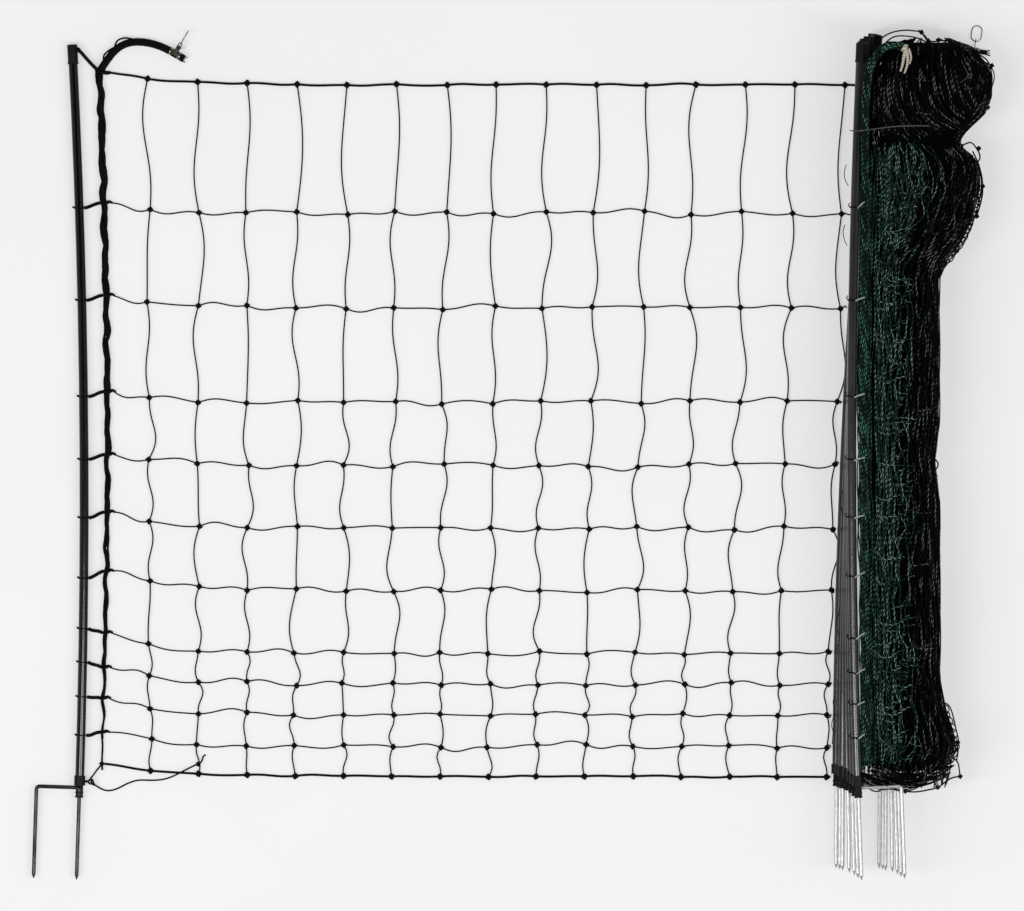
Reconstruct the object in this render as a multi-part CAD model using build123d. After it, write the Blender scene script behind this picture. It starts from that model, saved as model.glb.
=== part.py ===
"""Portable electrified poultry netting, lying flat on the ground with its first bay opened out.

The far end of the net is folded into a tied roll with its posts stacked along the left side. The near end
post, its step-in double spike and the first bay of netting are spread out to the left.

Frame: millimetres, +X along the fence, +Y up the posts, +Z away from the ground, and the ground is z = 0.
"""
import math
import os

from build123d import *

# ---- driving dimensions, mm ----
INCH = 25.4
POST_LENGTH = 1156.0  # foot of the block to the top of the cap
TUBE_R = 7.0
TUBE_BORE_R = 4.6
CAP_R = 7.9
CAP_RIM_R = 8.6
CAP_LENGTH = 30.0
CAP_TOP_WALL = 3.0
RIM_HEIGHT = 2.5
POST_BOW = 12.0  # how far a post bends off its own chord
STACK_PITCH = 17.3  # one layer of stacked posts
POST_Z = CAP_RIM_R  # a post lying on the ground

SLEEVE_R = 8.5
SLEEVE_TOP = 14.0  # heights in the foot block are counted from the tube's lower end
SLEEVE_FLOOR = -1.2
BLOCK_BOTTOM = -20.0
CLIP_R = 6.2
CLIP_SPANS = ((-20.0, -16.6), (-13.8, -10.4))
WEB_BACK = 8.3
WEB_FRONT = 5.6
WEB_HALF = 5.5
EYE_OFFSET = 17.0
EYE_HEIGHT = 5.4
EYE_R = 4.9
EYE_HOLE_R = 1.8
EYE_THICK = 4.0

WIRE_R = 3.0
WIRE_FIT = 0.05
PRONG_GAP = 66.0
ARM_HEIGHT = -4.5
PRONG_TIP = -146.0
TIP_LENGTH = 7.0
WIRE_BEND = 5.0

ROW_INCHES = (8, 6, 6, 4, 4, 4, 4, 2, 2, 2, 2)
LAST_ROW = len(ROW_INCHES)
ROWS = range(LAST_ROW + 1)
ROW_DRAW = 0.95  # slack netting draws in by a twentieth
TOP_ROW_Y = 568.0
LEAD_RISES = (20, 12, 15, 12, 12, 20, 26, 28, 23, 24, 20, 20)
LEAD_RISE_COLUMNS = 1.3
COLUMNS = 15
FIRST_COLUMN_X = (-557.0, -554.0)  # at the top row, at the bottom row
COLUMN_PITCH = (76.4, 74.1)
NET_Z = 3.4
STRAND_R = 1.05
EDGE_STRAND_R = 1.6
KNOT_R = 3.4
KNOT_SWAY = 3.0
KNOT_GAP = 0.25
BALL_SEAM = 135.0  # degrees: a ball's seam is kept clear of the strands that enter it

FOLD_X = 462.0  # where the open bay folds up beside the roll
FOLD_GAP = 0.3
LEAD_AXIS_X = -626.0  # where the end post folds on the lead
LEAD_AXIS_Z = 5.0
LEAD_SPLIT = 11.5  # radius about that axis at which ties change sides
LEAD_BOW = 10.0
LEAD_ENDS_X = (-631.0, -628.0)
LEAD_STRAND_R = 1.5
LEAD_END_R = 2.6
LEAD_LUMP = 1.06  # the lead is a little thicker where a row joins it
LEAD_GAP = 0.8
SLEEVE_LAP = 4.0
STRAP_RISE = 6.0
FOOT_STRING_DROP = 13.0
SPLIT_GAP = 2.2
TIE_R = 1.9
LOOP_WIRE_R = 0.75
LOOP_FIT = 0.05
NUB_R = 1.4
TIE_DROP = 8.0  # the loops sit a little lower on the post than the rows they hold

CLIP_BAND_WALL = 1.2
CLIP_BAND_WIDTH = 4.0
CLIP_BANDS_AT = (6.0, 20.0)
CLIP_MIDDLE = sum(CLIP_BANDS_AT) / 2
CLIP_BACK = 29.0  # the clip starts this far before the end of the lead
STRIP_WIDTH = 6.0
LUG_WIDTH = 7.0
LUG_THICK = 1.2
LUG_REACH = 11.0
LUG_EYE_R = 2.2
RING_WIRE_R = 0.9
RING_BEND_R = 7.85
RING_SIDE = 8.6
GATE_GAP = 0.4
RING_REST_TILT = 10.5  # the far ring leans until it touches the ground
FAR_END_Z = 5.3

ROLL_TOP = 118.0
ROLL_LEFT = 557.0
ROLL_RIGHT = 655.0
ROLL_STEP_X = 576.0  # the roll narrows below the stacked posts
ROLL_STEP_Z = (52.0, 90.0)
ROLL_BOTTOM_Y = -486.0
ROLL_NECK_Y = 471.0
LOBE_RIGHT = 737.0
SIDE_HEIGHT = 96.0
FOOT_HEIGHT = 70.0
SOLID_GAP = 0.4
ROLL_ROUND = 16.0

# lead tail and tie cord: routes through their hand-placed points, and their radii
TAIL_R = 5.0
TAIL_ROUTE = (
    (-630.5, 590.0, 5.2),
    (-618.6, 609.4, 5.2),
    (-603.0, 626.0, 5.2),
    (-585.0, 634.0, 5.2),
    (-562.0, 634.0, 5.2),
    (-539.0, 628.0, 5.5),
    (-520.0, 618.6, 6.4),
    (-502.0, 608.0, 6.5),
)
TIE_CORD_R = 1.3
TIE_CORD_ROUTE = (
    (-637.0, -507.5, 5.5),
    (-629.0, -513.0, 2.6),
    (-618.0, -516.0, 1.5),
    (-604.0, -512.5, 1.4),
    (-588.0, -503.5, 1.4),
    (-572.0, -498.6, 1.5),
    (-553.0, -499.6, 2.2),
    (-535.0, -498.6, 5.0),
    (-520.0, -493.8, 9.2),
    (-504.0, -485.6, 9.2),
    (-492.0, -479.5, 6.0),
    (-483.6, -475.4, 4.2),
)
# the lead of the far end, running up the roll beside the front post and over its head
FAR_LEAD_R = 4.0
FAR_LEAD_ROUTE = (
    (543.5, -470.0, 112.0),
    (543.0, -330.0, 112.0),
    (541.0, -190.0, 112.0),
    (539.5, -50.0, 112.0),
    (539.0, 90.0, 112.0),
    (540.0, 230.0, 112.5),
    (541.5, 350.0, 114.0),
    (542.0, 440.0, 118.0),
    (541.5, 510.0, 123.5),
    (543.0, 562.0, 126.0),
    (550.0, 598.0, 126.0),
    (564.0, 621.0, 124.5),
    (583.0, 630.0, 123.0),
    (601.0, 624.0, 122.5),
)
# stacked posts, lowest first: foot x, foot y, top x
STACK = (
    (499.0, -508.0, 556.0),
    (504.0, -509.5, 560.0),
    (508.0, -511.0, 562.0),
    (516.0, -514.0, 548.0),
    (522.0, -518.0, 542.0),
    (526.5, -522.0, 539.0),
    (531.0, -525.0, 536.0),
)
TIE_KNOT = (-480.2, -474.6, 3.9)
TIE_KNOT_R = 3.8
CREAM_KNOT = (604.0, 622.0, 124.0)
CREAM_TAILS = ((600.0, 590.0, 122.0), (612.0, 592.0, 122.0))
CREAM_CORD_R = 2.2
CREAM_KNOT_R = 3.6
FAR_CLIP_AT = (698.0, 622.0)
FAR_CLIP_TURN = -8.0
FAR_END_LENGTH = 33.0
END_POST_FOOT = (-662.0, -526.0)
END_POST_TOP = (-673.4, 630.0)


def scatter(a, b):
    """A repeatable number from -1 to 1 for a pair of whole numbers."""
    value = math.sin(12.9898 * a + 78.233 * b) * 43758.5453
    return 2 * (value - math.floor(value)) - 1


def rod(start, end, radius):
    """A round bar from one point to another."""
    start, end = Vector(*start), Vector(*end)
    run = end - start
    return Solid.make_cylinder(radius, run.length, Plane(origin=start, z_dir=run))


def tube_along(path, radius):
    """A solid round section carried along a path."""
    start = Plane(origin=path @ 0, z_dir=path % 0)
    return sweep(start * Circle(radius), path=path)


def ball(centre, radius, seam=BALL_SEAM):
    """A round bead, with its seam turned away from the bars that run into it."""
    return Pos(*centre) * Rot(0, 0, seam) * Sphere(radius)


def corner_radii(points, share=0.45):
    """The largest arc that each corner's two runs allow."""
    radii = []
    for before, corner, after in zip(points, points[1:], points[2:]):
        run_in = Vector(*corner) - Vector(*before)
        run_out = Vector(*after) - Vector(*corner)
        half_turn = math.radians(run_in.get_angle(run_out)) / 2
        radii.append(share * min(run_in.length, run_out.length) / math.tan(half_turn))
    return radii


def cord(name, points, radius):
    """A cord's solid along straight runs and tangent arcs, with its numbers printed."""
    radii = corner_radii(points)
    path = FilletPolyline(*points, radius=radii)
    solid = tube_along(path, radius)
    share = solid.volume / (math.pi * radius**2 * path.length)
    print(name, "length", round(path.length, 1), "radii", [round(r) for r in radii], "fill", round(share, 4))
    return solid


def fused(pieces):
    """One solid from overlapping pieces."""
    first, *rest = pieces
    return first.fuse(*rest) if rest else first


def group(pieces):
    """Separate solids that share one node."""
    return Compound(children=[solid for piece in pieces for solid in piece.solids()])


# ---- posts ----
def post_curve(foot, top, bow, z):
    """The bent centre line of a post, from the lower end of its tube to the upper end."""
    foot, top = Vector(*foot, z), Vector(*top, z)
    along = (top - foot).normalized()
    side = Vector(along.Y, -along.X, 0)
    low = foot + along * -BLOCK_BOTTOM
    high = top - along * CAP_TOP_WALL
    middle = (low + high) / 2 + side * bow
    return ThreePointArc(low, middle, high)


def post_frame(origin, direction, spin=0.0):
    """Local frame of a post's end: x across, y up the post, z off the ground, then spun about the post."""
    up = Vector(*direction).normalized()
    across = Vector(up.Y, -up.X, 0)
    frame = Plane(origin=origin, x_dir=across, z_dir=across.cross(up))
    return frame.location * Location((0, 0, 0), (0, spin, 0))


def bar_along(radius, low, high):
    """A bar on the local x axis between two places."""
    return Solid.make_cylinder(radius, high - low, Plane(origin=(low, 0, 0), z_dir=(1, 0, 0)))


def bar_up(radius, low, high, x=0.0, z=0.0):
    """A bar along the local y axis between two heights."""
    return Solid.make_cylinder(radius, high - low, Plane(origin=(x, low, z), z_dir=(0, 1, 0)))


def post_tube(curve):
    """A bent plastic tube, open at both ends."""
    return tube_along(curve, TUBE_R) - tube_along(curve, TUBE_BORE_R)


def post_cap():
    """A push-on cap with a turned-out rim, in the frame of the tube's upper end."""
    skirt = CAP_TOP_WALL - CAP_LENGTH
    shell = bar_up(CAP_R, skirt, CAP_TOP_WALL) + bar_up(CAP_RIM_R, skirt, skirt + RIM_HEIGHT)
    shell = fillet(shell.edges().filter_by(GeomType.CIRCLE).sort_by(Axis.Y)[-1], 1.2)
    return shell - bar_up(TUBE_R, skirt, 0.0)


def foot_block(with_eye):
    """Moulded block: a socket for the tube above an open arm slot and two clips for the spike's wire."""
    block = bar_up(SLEEVE_R, SLEEVE_FLOOR, SLEEVE_TOP)
    web_height = SLEEVE_TOP - BLOCK_BOTTOM
    web_middle = (SLEEVE_TOP + BLOCK_BOTTOM) / 2
    web_depth = WEB_BACK - WEB_FRONT
    block += Pos(0, web_middle, -(WEB_BACK + WEB_FRONT) / 2) * Box(2 * WEB_HALF, web_height, web_depth)
    for low, high in CLIP_SPANS:
        block += bar_up(CLIP_R, low, high)
    block -= bar_up(TUBE_R, 0.0, SLEEVE_TOP)
    block -= bar_up(WIRE_R + WIRE_FIT, BLOCK_BOTTOM, CLIP_SPANS[1][1])
    if with_eye:
        neck = rod((SLEEVE_R - 1, EYE_HEIGHT, 0), (EYE_OFFSET - 3, EYE_HEIGHT, 0), 1.9)
        eye = Pos(EYE_OFFSET, EYE_HEIGHT, 0) * Cylinder(EYE_R, EYE_THICK)
        block = block + neck + eye - Pos(EYE_OFFSET, EYE_HEIGHT, 0) * Cylinder(EYE_HOLE_R, 2 * EYE_THICK)
    return block


def double_spike():
    """Step-in fork of bent round wire with pointed tips: the inner prong lies on the post's own axis."""
    straight_tip = PRONG_TIP + TIP_LENGTH
    path = FilletPolyline(
        (0, straight_tip, 0),
        (0, ARM_HEIGHT, 0),
        (-PRONG_GAP, ARM_HEIGHT, 0),
        (-PRONG_GAP, straight_tip, 0),
        radius=WIRE_BEND,
    )
    fork = tube_along(path, WIRE_R)
    for x in (0, -PRONG_GAP):
        point = Plane(origin=(x, straight_tip, 0), z_dir=(0, -1, 0))
        fork = fork.fuse(Solid.make_cone(WIRE_R, 0.4, TIP_LENGTH, point))
    return fork


# ---- net ----
def row_y(row):
    """Height of a row in the middle of the bay."""
    return TOP_ROW_Y - ROW_DRAW * INCH * sum(ROW_INCHES[:row])


def knot(row, column):
    """Where a row crosses a column. Column -1 is the end lead."""
    fall = (TOP_ROW_Y - row_y(row)) / (TOP_ROW_Y - row_y(LAST_ROW))
    x_top = FIRST_COLUMN_X[0] + COLUMN_PITCH[0] * column
    x_low = FIRST_COLUMN_X[1] + COLUMN_PITCH[1] * column
    lift = LEAD_RISES[row] * math.exp(-(column + 1) / LEAD_RISE_COLUMNS)
    sway = 0.3 if row in (0, LAST_ROW) else 1.0
    x = x_top + (x_low - x_top) * fall + KNOT_SWAY * sway * scatter(row, column)
    y = row_y(row) + lift + KNOT_SWAY * sway * scatter(column, row + 40)
    return Vector(x, y, NET_Z)


def lead_point(row):
    """Where a row meets the twisted end lead, and the lead's radius there."""
    drop = (TOP_ROW_Y - row_y(row)) / (TOP_ROW_Y - row_y(LAST_ROW))
    x = LEAD_ENDS_X[0] + (LEAD_ENDS_X[1] - LEAD_ENDS_X[0]) * drop + LEAD_BOW * math.sin(math.pi * drop)
    strands = LAST_ROW + 2 - max(row, 1)  # counted on the thicker side of the row
    radius = LEAD_STRAND_R * math.sqrt(strands)
    return Vector(x, row_y(row) + LEAD_RISES[row], max(NET_Z, radius * LEAD_LUMP + 0.1)), radius


def strand_radius(row):
    """The top and bottom lines are heavier than the ones between."""
    return EDGE_STRAND_R if row in (0, LAST_ROW) else STRAND_R


def line_stub(row):
    """Short end of a row that sticks out of the lead towards the post, as far as the fold."""
    at, radius = lead_point(row)
    outer, inner = LEAD_AXIS_X - LEAD_SPLIT, at.X - radius - LEAD_GAP
    if row == LAST_ROW:
        inner = at.X - LEAD_END_R - 2 * LEAD_GAP
        return rod((outer, at.Y - FOOT_STRING_DROP, NET_Z), (inner, at.Y - LEAD_END_R, NET_Z), EDGE_STRAND_R)
    return rod((outer, at.Y, LEAD_AXIS_Z), (inner, at.Y, LEAD_AXIS_Z), TIE_R)


def net_line(row):
    """One row of the open bay: a sleeve at the lead, then a strand through its knots to the fold."""
    at, radius = lead_point(row)
    strand = strand_radius(row)
    start = Vector(at.X + radius + LEAD_GAP, at.Y, NET_Z)
    sleeve_way = (knot(row, 0) - start).normalized()
    points = [start + sleeve_way * SLEEVE_LAP]
    points += [knot(row, column) for column in range(COLUMNS - 1)]
    last, beyond = knot(row, COLUMNS - 2), knot(row, COLUMNS - 1)
    share = (FOLD_X - FOLD_GAP - last.X) / (beyond.X - last.X)
    points.append(last + (beyond - last) * share)
    pieces = [rod(a, b, strand) for a, b in zip(points, points[1:])]
    pieces += [ball(p, KNOT_R) for p in points[1:-1]]
    pieces.append(rod(start, start + sleeve_way * 2 * SLEEVE_LAP, TIE_R))
    return fused(pieces)


def stay(row, column):
    """One upright strand between two rows, stopping at the surface of both knots."""
    upper, lower = knot(row, column), knot(row + 1, column)
    along = (lower - upper).normalized()
    inset = KNOT_R + KNOT_GAP
    return rod(upper + along * inset, lower - along * inset, STRAND_R)


def end_lead():
    """The rows' ends twisted together: one more strand joins at each row, so it thickens towards the top."""
    places = [lead_point(row) for row in ROWS]
    pieces = [rod(upper, lower, radius) for (upper, _), (lower, radius) in zip(places, places[1:])]
    pieces += [ball(at, radius * LEAD_LUMP, seam=0) for at, radius in places[:-1]]
    pieces.append(ball(places[-1][0], LEAD_END_R, seam=0))
    return fused(pieces)


# ---- ties ----
def tie_loop(curve, at):
    """A ring of thin wire round a post where its height is y = at. Returns the ring and the post's centre."""
    low, high = (curve @ 0).Y, (curve @ 1).Y
    share = (at - low) / (high - low)
    centre, along = curve @ share, curve % share
    ring_plane = Plane(origin=centre, z_dir=along)
    ring = Solid.make_torus(TUBE_R + LOOP_FIT + LOOP_WIRE_R, LOOP_WIRE_R, ring_plane)
    return ring, centre


def post_tie(curve, row, target):
    """Wire loop on the post, a nub on its far side and a sleeve that reaches to the target."""
    at, _ = lead_point(row)
    ring, centre = tie_loop(curve, at.Y - TIE_DROP)
    clear = TUBE_R + 2 * LOOP_FIT
    nub = ball((centre.X - clear - NUB_R, centre.Y, centre.Z), NUB_R)
    start = Vector(centre.X + clear + TIE_R, centre.Y, centre.Z)
    return fused([ring, nub, rod(start, target, TIE_R), ball(start, TIE_R)])


# ---- clips ----
def clip_plate(rope_r, lug_place):
    """Sheet clip: two bands crimped round a rope end on the x axis, a strip between them and an eyed lug.

    lug_place puts the lug, which is flat in xy with its eye on y, against the strip."""
    half = CLIP_BAND_WIDTH / 2
    bands = [bar_along(rope_r + CLIP_BAND_WALL, x - half, x + half) for x in CLIP_BANDS_AT]
    eye_y = rope_r + LUG_REACH
    strip_length = CLIP_BANDS_AT[1] - CLIP_BANDS_AT[0]
    strip = Pos(0, 0, rope_r + LUG_THICK / 2) * Box(strip_length, STRIP_WIDTH, LUG_THICK)
    if lug_place.orientation.Y:
        strip = Rot(-90, 0, 0) * strip
    lug = Pos(0, eye_y / 2, 0) * Box(LUG_WIDTH, eye_y, LUG_THICK)
    lug += Pos(0, eye_y, 0) * Cylinder(LUG_WIDTH / 2, LUG_THICK)
    lug -= Pos(0, eye_y, 0) * Cylinder(LUG_EYE_R, 4 * LUG_THICK)
    plate = fused([*bands, Pos(CLIP_MIDDLE, 0, 0) * strip, Pos(CLIP_MIDDLE, 0, 0) * lug_place * lug])
    return plate - bar_along(rope_r + 0.02, -60, 60)


def clip_ring():
    """Open oval wire ring in its own frame: eye at the origin, running up y, its plane xy."""
    r, side = RING_BEND_R, RING_SIDE
    low_arc = ThreePointArc((r, r, 0), (0, 0, 0), (-r, r, 0))
    left = Line((-r, r, 0), (-r, r + side, 0))
    high_arc = ThreePointArc((-r, r + side, 0), (0, side + 2 * r, 0), (r, r + side, 0))
    return tube_along(Wire([low_arc.edge(), left.edge(), high_arc.edge()]), RING_WIRE_R)


def clip_gate():
    """Straight wire gate that closes the ring's open side."""
    low, high = RING_BEND_R + GATE_GAP, RING_BEND_R + RING_SIDE - GATE_GAP
    return bar_up(RING_WIRE_R, low, high, x=RING_BEND_R)


# ---- roll ----
def roll_section():
    """End view of the roll: tall and rounded on the right, stepped over the stacked posts on the left."""
    low, high = ROLL_STEP_Z
    corners = (
        (ROLL_STEP_X, 0),
        (ROLL_RIGHT, 0),
        (ROLL_RIGHT, ROLL_TOP),
        (ROLL_LEFT, ROLL_TOP),
        (ROLL_LEFT, high),
        (ROLL_STEP_X, low),
    )
    return make_face(Polyline(*corners, close=True))


def roll_column():
    """Folded netting between the neck and the foot of the roll."""
    face = Pos(0, ROLL_BOTTOM_Y, 0) * Rot(90, 0, 0) * roll_section()
    column = extrude(face, ROLL_NECK_Y - ROLL_BOTTOM_Y, dir=(0, 1, 0))
    top_right = column.edges().filter_by(Axis.Y).sort_by(lambda e: e.center().X + e.center().Z)[-1]
    top_left = column.edges().filter_by(Axis.Y).sort_by(lambda e: e.center().Z - e.center().X / 3)[-1]
    return fillet([top_right, top_left], ROLL_ROUND)


def lobe(outline, height, round_r, soften):
    """A bulge of loose netting: an outline with rounded corners, extruded up from the ground and softened."""
    face = make_face(Polyline(*outline, close=True))
    face = fillet(face.vertices(), round_r)
    body = extrude(face, height)
    return fillet(body.faces().sort_by(Axis.Z)[-1].edges(), soften)


def top_lobe():
    """The head of the roll, folded over to the right and hollowed where the posts' tops lie under it."""
    body = lobe(
        (
            (560, ROLL_NECK_Y + SOLID_GAP),
            (557, 600),
            (585, 636),
            (655, 640),
            (688, 622),
            (725, 590),
            (LOBE_RIGHT, 560),
            (LOBE_RIGHT, 535),
            (712, 500),
            (680, ROLL_NECK_Y + SOLID_GAP),
        ),
        ROLL_TOP,
        round_r=12,
        soften=16,
    )
    body -= Pos(540, 560, 26.5) * Box(72, 240, 53)
    return body - Pos(540, 560, 66) * Box(42, 240, 50)


def side_lobe():
    """Loose folds beside the neck."""
    left = ROLL_RIGHT + SOLID_GAP
    outline = ((left, 284), (left, 468), (690, 462), (717, 420), (717, 350), (690, 300))
    return lobe(outline, SIDE_HEIGHT, round_r=9, soften=9)


def foot_lobe():
    """Loose folds at the roll's foot."""
    left = ROLL_RIGHT + SOLID_GAP
    outline = ((left, -484), (left, -376), (674, -376), (684, -400), (684, -484))
    return lobe(outline, FOOT_HEIGHT, round_r=6, soften=6)


def cream_tie():
    """Pale cord knotted round the far lead where it goes into the head of the roll: two short tails."""
    tails = [rod(CREAM_KNOT, end, CREAM_CORD_R) for end in CREAM_TAILS]
    return fused([ball(CREAM_KNOT, CREAM_KNOT_R), *tails])


# ---- build ----
nodes = {}
end_curve = post_curve(END_POST_FOOT, END_POST_TOP, POST_BOW, POST_Z)
foot_place = post_frame(end_curve @ 0, end_curve % 0)
nodes["end_post_tube"] = post_tube(end_curve)
nodes["end_post_cap"] = post_frame(end_curve @ 1, end_curve % 1) * post_cap()
nodes["end_foot_block"] = foot_place * foot_block(with_eye=True)
nodes["end_spike"] = foot_place * double_spike()

split_x = LEAD_AXIS_X - LEAD_SPLIT - SPLIT_GAP
nodes["end_post_ties"] = group(
    [post_tie(end_curve, row, (split_x, lead_point(row)[0].Y, LEAD_AXIS_Z)) for row in ROWS[1:-1]]
)
top_lead = lead_point(0)[0]
strap_start = end_curve @ 1 + Vector(CAP_R + TIE_R + 0.2, -4, 0)
strap = rod(strap_start, (split_x, top_lead.Y + STRAP_RISE, LEAD_AXIS_Z), TIE_R)
nodes["top_strap"] = fused([ball(strap_start, TIE_R), strap])
eye_centre = (foot_place * Location((EYE_OFFSET, EYE_HEIGHT, 0))).position
bottom_lead = lead_point(LAST_ROW)[0]
string_start = eye_centre + Vector(1.0, EYE_R + 1.6, -1.5)
string_end = (split_x, bottom_lead.Y - FOOT_STRING_DROP, NET_Z)
nodes["foot_string"] = rod(string_start, string_end, TIE_CORD_R)

for row in ROWS:
    nodes[f"net_line_{row + 1:02d}"] = net_line(row)
nodes["line_stubs"] = group([line_stub(row) for row in ROWS[1:]])
nodes["net_stays"] = group([stay(row, column) for column in range(COLUMNS - 1) for row in ROWS[:-1]])
nodes["end_lead"] = end_lead()
nodes["lead_tail"] = cord("lead_tail", TAIL_ROUTE, TAIL_R)
nodes["tie_cord"] = cord("tie_cord", TIE_CORD_ROUTE, TIE_CORD_R)
nodes["tie_knot"] = ball(TIE_KNOT, TIE_KNOT_R)

tail_end = Vector(*TAIL_ROUTE[-1])
tail_way = (tail_end - Vector(*TAIL_ROUTE[-2])).normalized()
near_clip = Plane(origin=tail_end - tail_way * CLIP_BACK, x_dir=tail_way, z_dir=(0, 0, 1)).location
flat_lug = Location((0, 0, TAIL_R + LUG_THICK / 2))
near_eye = near_clip * Location((CLIP_MIDDLE, TAIL_R + LUG_REACH, 0)) * flat_lug
near_ring = near_eye * Location((0, 0, 0), (0, -90, 0))
nodes["near_clip_plate"] = near_clip * clip_plate(TAIL_R, flat_lug)
nodes["near_clip_ring"] = near_ring * clip_ring()
nodes["near_clip_gate"] = near_ring * clip_gate()

spikes, caps, blocks, curves = [], [], [], []
for index, (foot_x, foot_y, top_x) in enumerate(STACK):
    lean = math.sqrt(POST_LENGTH**2 - (top_x - foot_x) ** 2)
    curve = post_curve((foot_x, foot_y), (top_x, foot_y + lean), -POST_BOW, POST_Z + STACK_PITCH * index)
    foot = post_frame(curve @ 0, curve % 0, spin=180)
    nodes[f"stacked_tube_{index + 1}"] = post_tube(curve)
    nodes[f"stacked_spike_{index + 1}"] = foot * double_spike()
    caps.append(post_frame(curve @ 1, curve % 1) * post_cap())
    blocks.append(foot * foot_block(with_eye=False))
    curves.append(curve)
nodes["stacked_caps"] = group(caps)
nodes["stacked_foot_blocks"] = group(blocks)

lowest, front = curves[0], curves[-1]
run_in = []
for row in ROWS:
    here, next_knot = knot(row, COLUMNS - 2), knot(row, COLUMNS - 1)
    share = (FOLD_X - here.X) / (next_knot.X - here.X)
    start = here + (next_knot - here) * share
    low, high = (lowest @ 0).Y, (lowest @ 1).Y
    post_x = (lowest @ max(0.0, min(1.0, (next_knot.Y - low) / (high - low)))).X
    stop = Vector(post_x - SLEEVE_R - 1.0, next_knot.Y, NET_Z)
    run_in.append(fused([rod(start, next_knot, strand_radius(row)), ball(next_knot, KNOT_R)]))
    if stop.X > next_knot.X + KNOT_R:
        run_in[-1] = fused([run_in[-1], rod(next_knot, stop, strand_radius(row))])
nodes["run_in_lines"] = group(run_in)
nodes["run_in_stays"] = group([stay(row, COLUMNS - 1) for row in ROWS[:-1]])

front_ties = []
for row in ROWS[1:-1]:
    ring, _ = tie_loop(front, lead_point(row)[0].Y - TIE_DROP)
    front_ties.append(ring)
nodes["stacked_post_ties"] = group(front_ties)

nodes["roll_column"] = roll_column()
nodes["roll_head"] = top_lobe()
nodes["roll_side"] = side_lobe()
nodes["roll_foot"] = foot_lobe()
nodes["far_lead"] = cord("far_lead", FAR_LEAD_ROUTE, FAR_LEAD_R)
nodes["cream_tie"] = cream_tie()

far_clip = Location((*FAR_CLIP_AT, FAR_END_Z), (0, 0, FAR_CLIP_TURN))
far_ring = far_clip * Location((CLIP_MIDDLE, FAR_LEAD_R + LUG_REACH, 0), (-RING_REST_TILT, 0, 0))
nodes["far_lead_end"] = far_clip * bar_along(FAR_LEAD_R, 0, FAR_END_LENGTH)
nodes["far_clip_plate"] = far_clip * clip_plate(FAR_LEAD_R, Location((0, 0, 0), (0, 90, 0)))
nodes["far_clip_ring"] = far_ring * clip_ring()
nodes["far_clip_gate"] = far_ring * clip_gate()

for name, shape in nodes.items():
    shape.label = name
os.makedirs("parts", exist_ok=True)
for name, shape in nodes.items():
    export_step(shape, f"parts/{name}.step")
whole = Compound(children=[Compound(children=s.solids()) for s in nodes.values()]).bounding_box()
print(len(nodes), "nodes, box", whole.min, whole.max)
print("spike axis", foot_place.position, end_curve % 0)
for name, ring in (("near", near_ring), ("far", far_ring)):
    frame = Plane(ring)
    gate = (ring * Location((RING_BEND_R, RING_BEND_R + GATE_GAP, 0))).position
    print(name, "ring", frame.origin, "x", frame.x_dir, "z", frame.z_dir, "gate", gate)
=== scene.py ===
"""Portable electric poultry netting on a pale floor: one bay opened out, the rest folded into a tied roll.

The frame is in metres: +X along the fence, +Y up the posts, +Z away from the ground.
Sizes in this file are in millimetres, as a maker would measure them, and go through MM.
"""
import logging
import math
from dataclasses import dataclass, field
from enum import Enum

import bpy
import numpy as np
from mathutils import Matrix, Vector


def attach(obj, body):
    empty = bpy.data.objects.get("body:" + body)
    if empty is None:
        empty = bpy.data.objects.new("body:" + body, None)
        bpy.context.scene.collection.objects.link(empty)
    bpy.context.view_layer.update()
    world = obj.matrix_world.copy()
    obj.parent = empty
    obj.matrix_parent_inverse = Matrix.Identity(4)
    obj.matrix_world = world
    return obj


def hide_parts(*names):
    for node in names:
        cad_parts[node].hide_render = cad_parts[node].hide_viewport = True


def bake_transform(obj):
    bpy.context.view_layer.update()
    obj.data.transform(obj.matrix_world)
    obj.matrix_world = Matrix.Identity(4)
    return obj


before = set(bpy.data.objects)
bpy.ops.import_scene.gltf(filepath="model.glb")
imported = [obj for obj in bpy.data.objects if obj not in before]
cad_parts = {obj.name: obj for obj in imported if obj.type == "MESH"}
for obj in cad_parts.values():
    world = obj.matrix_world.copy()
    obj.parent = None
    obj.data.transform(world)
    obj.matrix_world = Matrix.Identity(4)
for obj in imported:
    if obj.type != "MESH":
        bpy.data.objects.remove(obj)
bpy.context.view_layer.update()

MM = 0.001
INCH = 25.4
FLOOR_GAP = 0.1  # nothing lies lower than this
LAY_MAP = "lay"  # u counts centimetres along a strand, v goes once round it
LAY_OFFSET = 61.7  # each strand starts its lay this much further on, so that no two are lit alike
LOG = logging.getLogger("netting")

Point = tuple[float, float, float]
Plan = tuple[float, float]
Tree, Socket = bpy.types.NodeTree, bpy.types.NodeSocket


class Bodies(Enum):
    """The rigid bodies that the soft pieces ride on."""

    ROLL = "roll"
    BAY = "bay"
    POST = "end_post"


# ---- colour and nodes ----
def linear(hex_colour: str) -> tuple[float, float, float, float]:
    """Turn an sRGB hex value to a linear colour.

    Args:
        hex_colour: Six hex digits after a hash.

    Returns:
        Linear red, green, blue and an alpha of one.
    """
    values = [int(hex_colour[i : i + 2], 16) / 255 for i in (1, 3, 5)]
    return (*[v / 12.92 if v <= 0.04045 else ((v + 0.055) / 1.055) ** 2.4 for v in values], 1.0)


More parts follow.
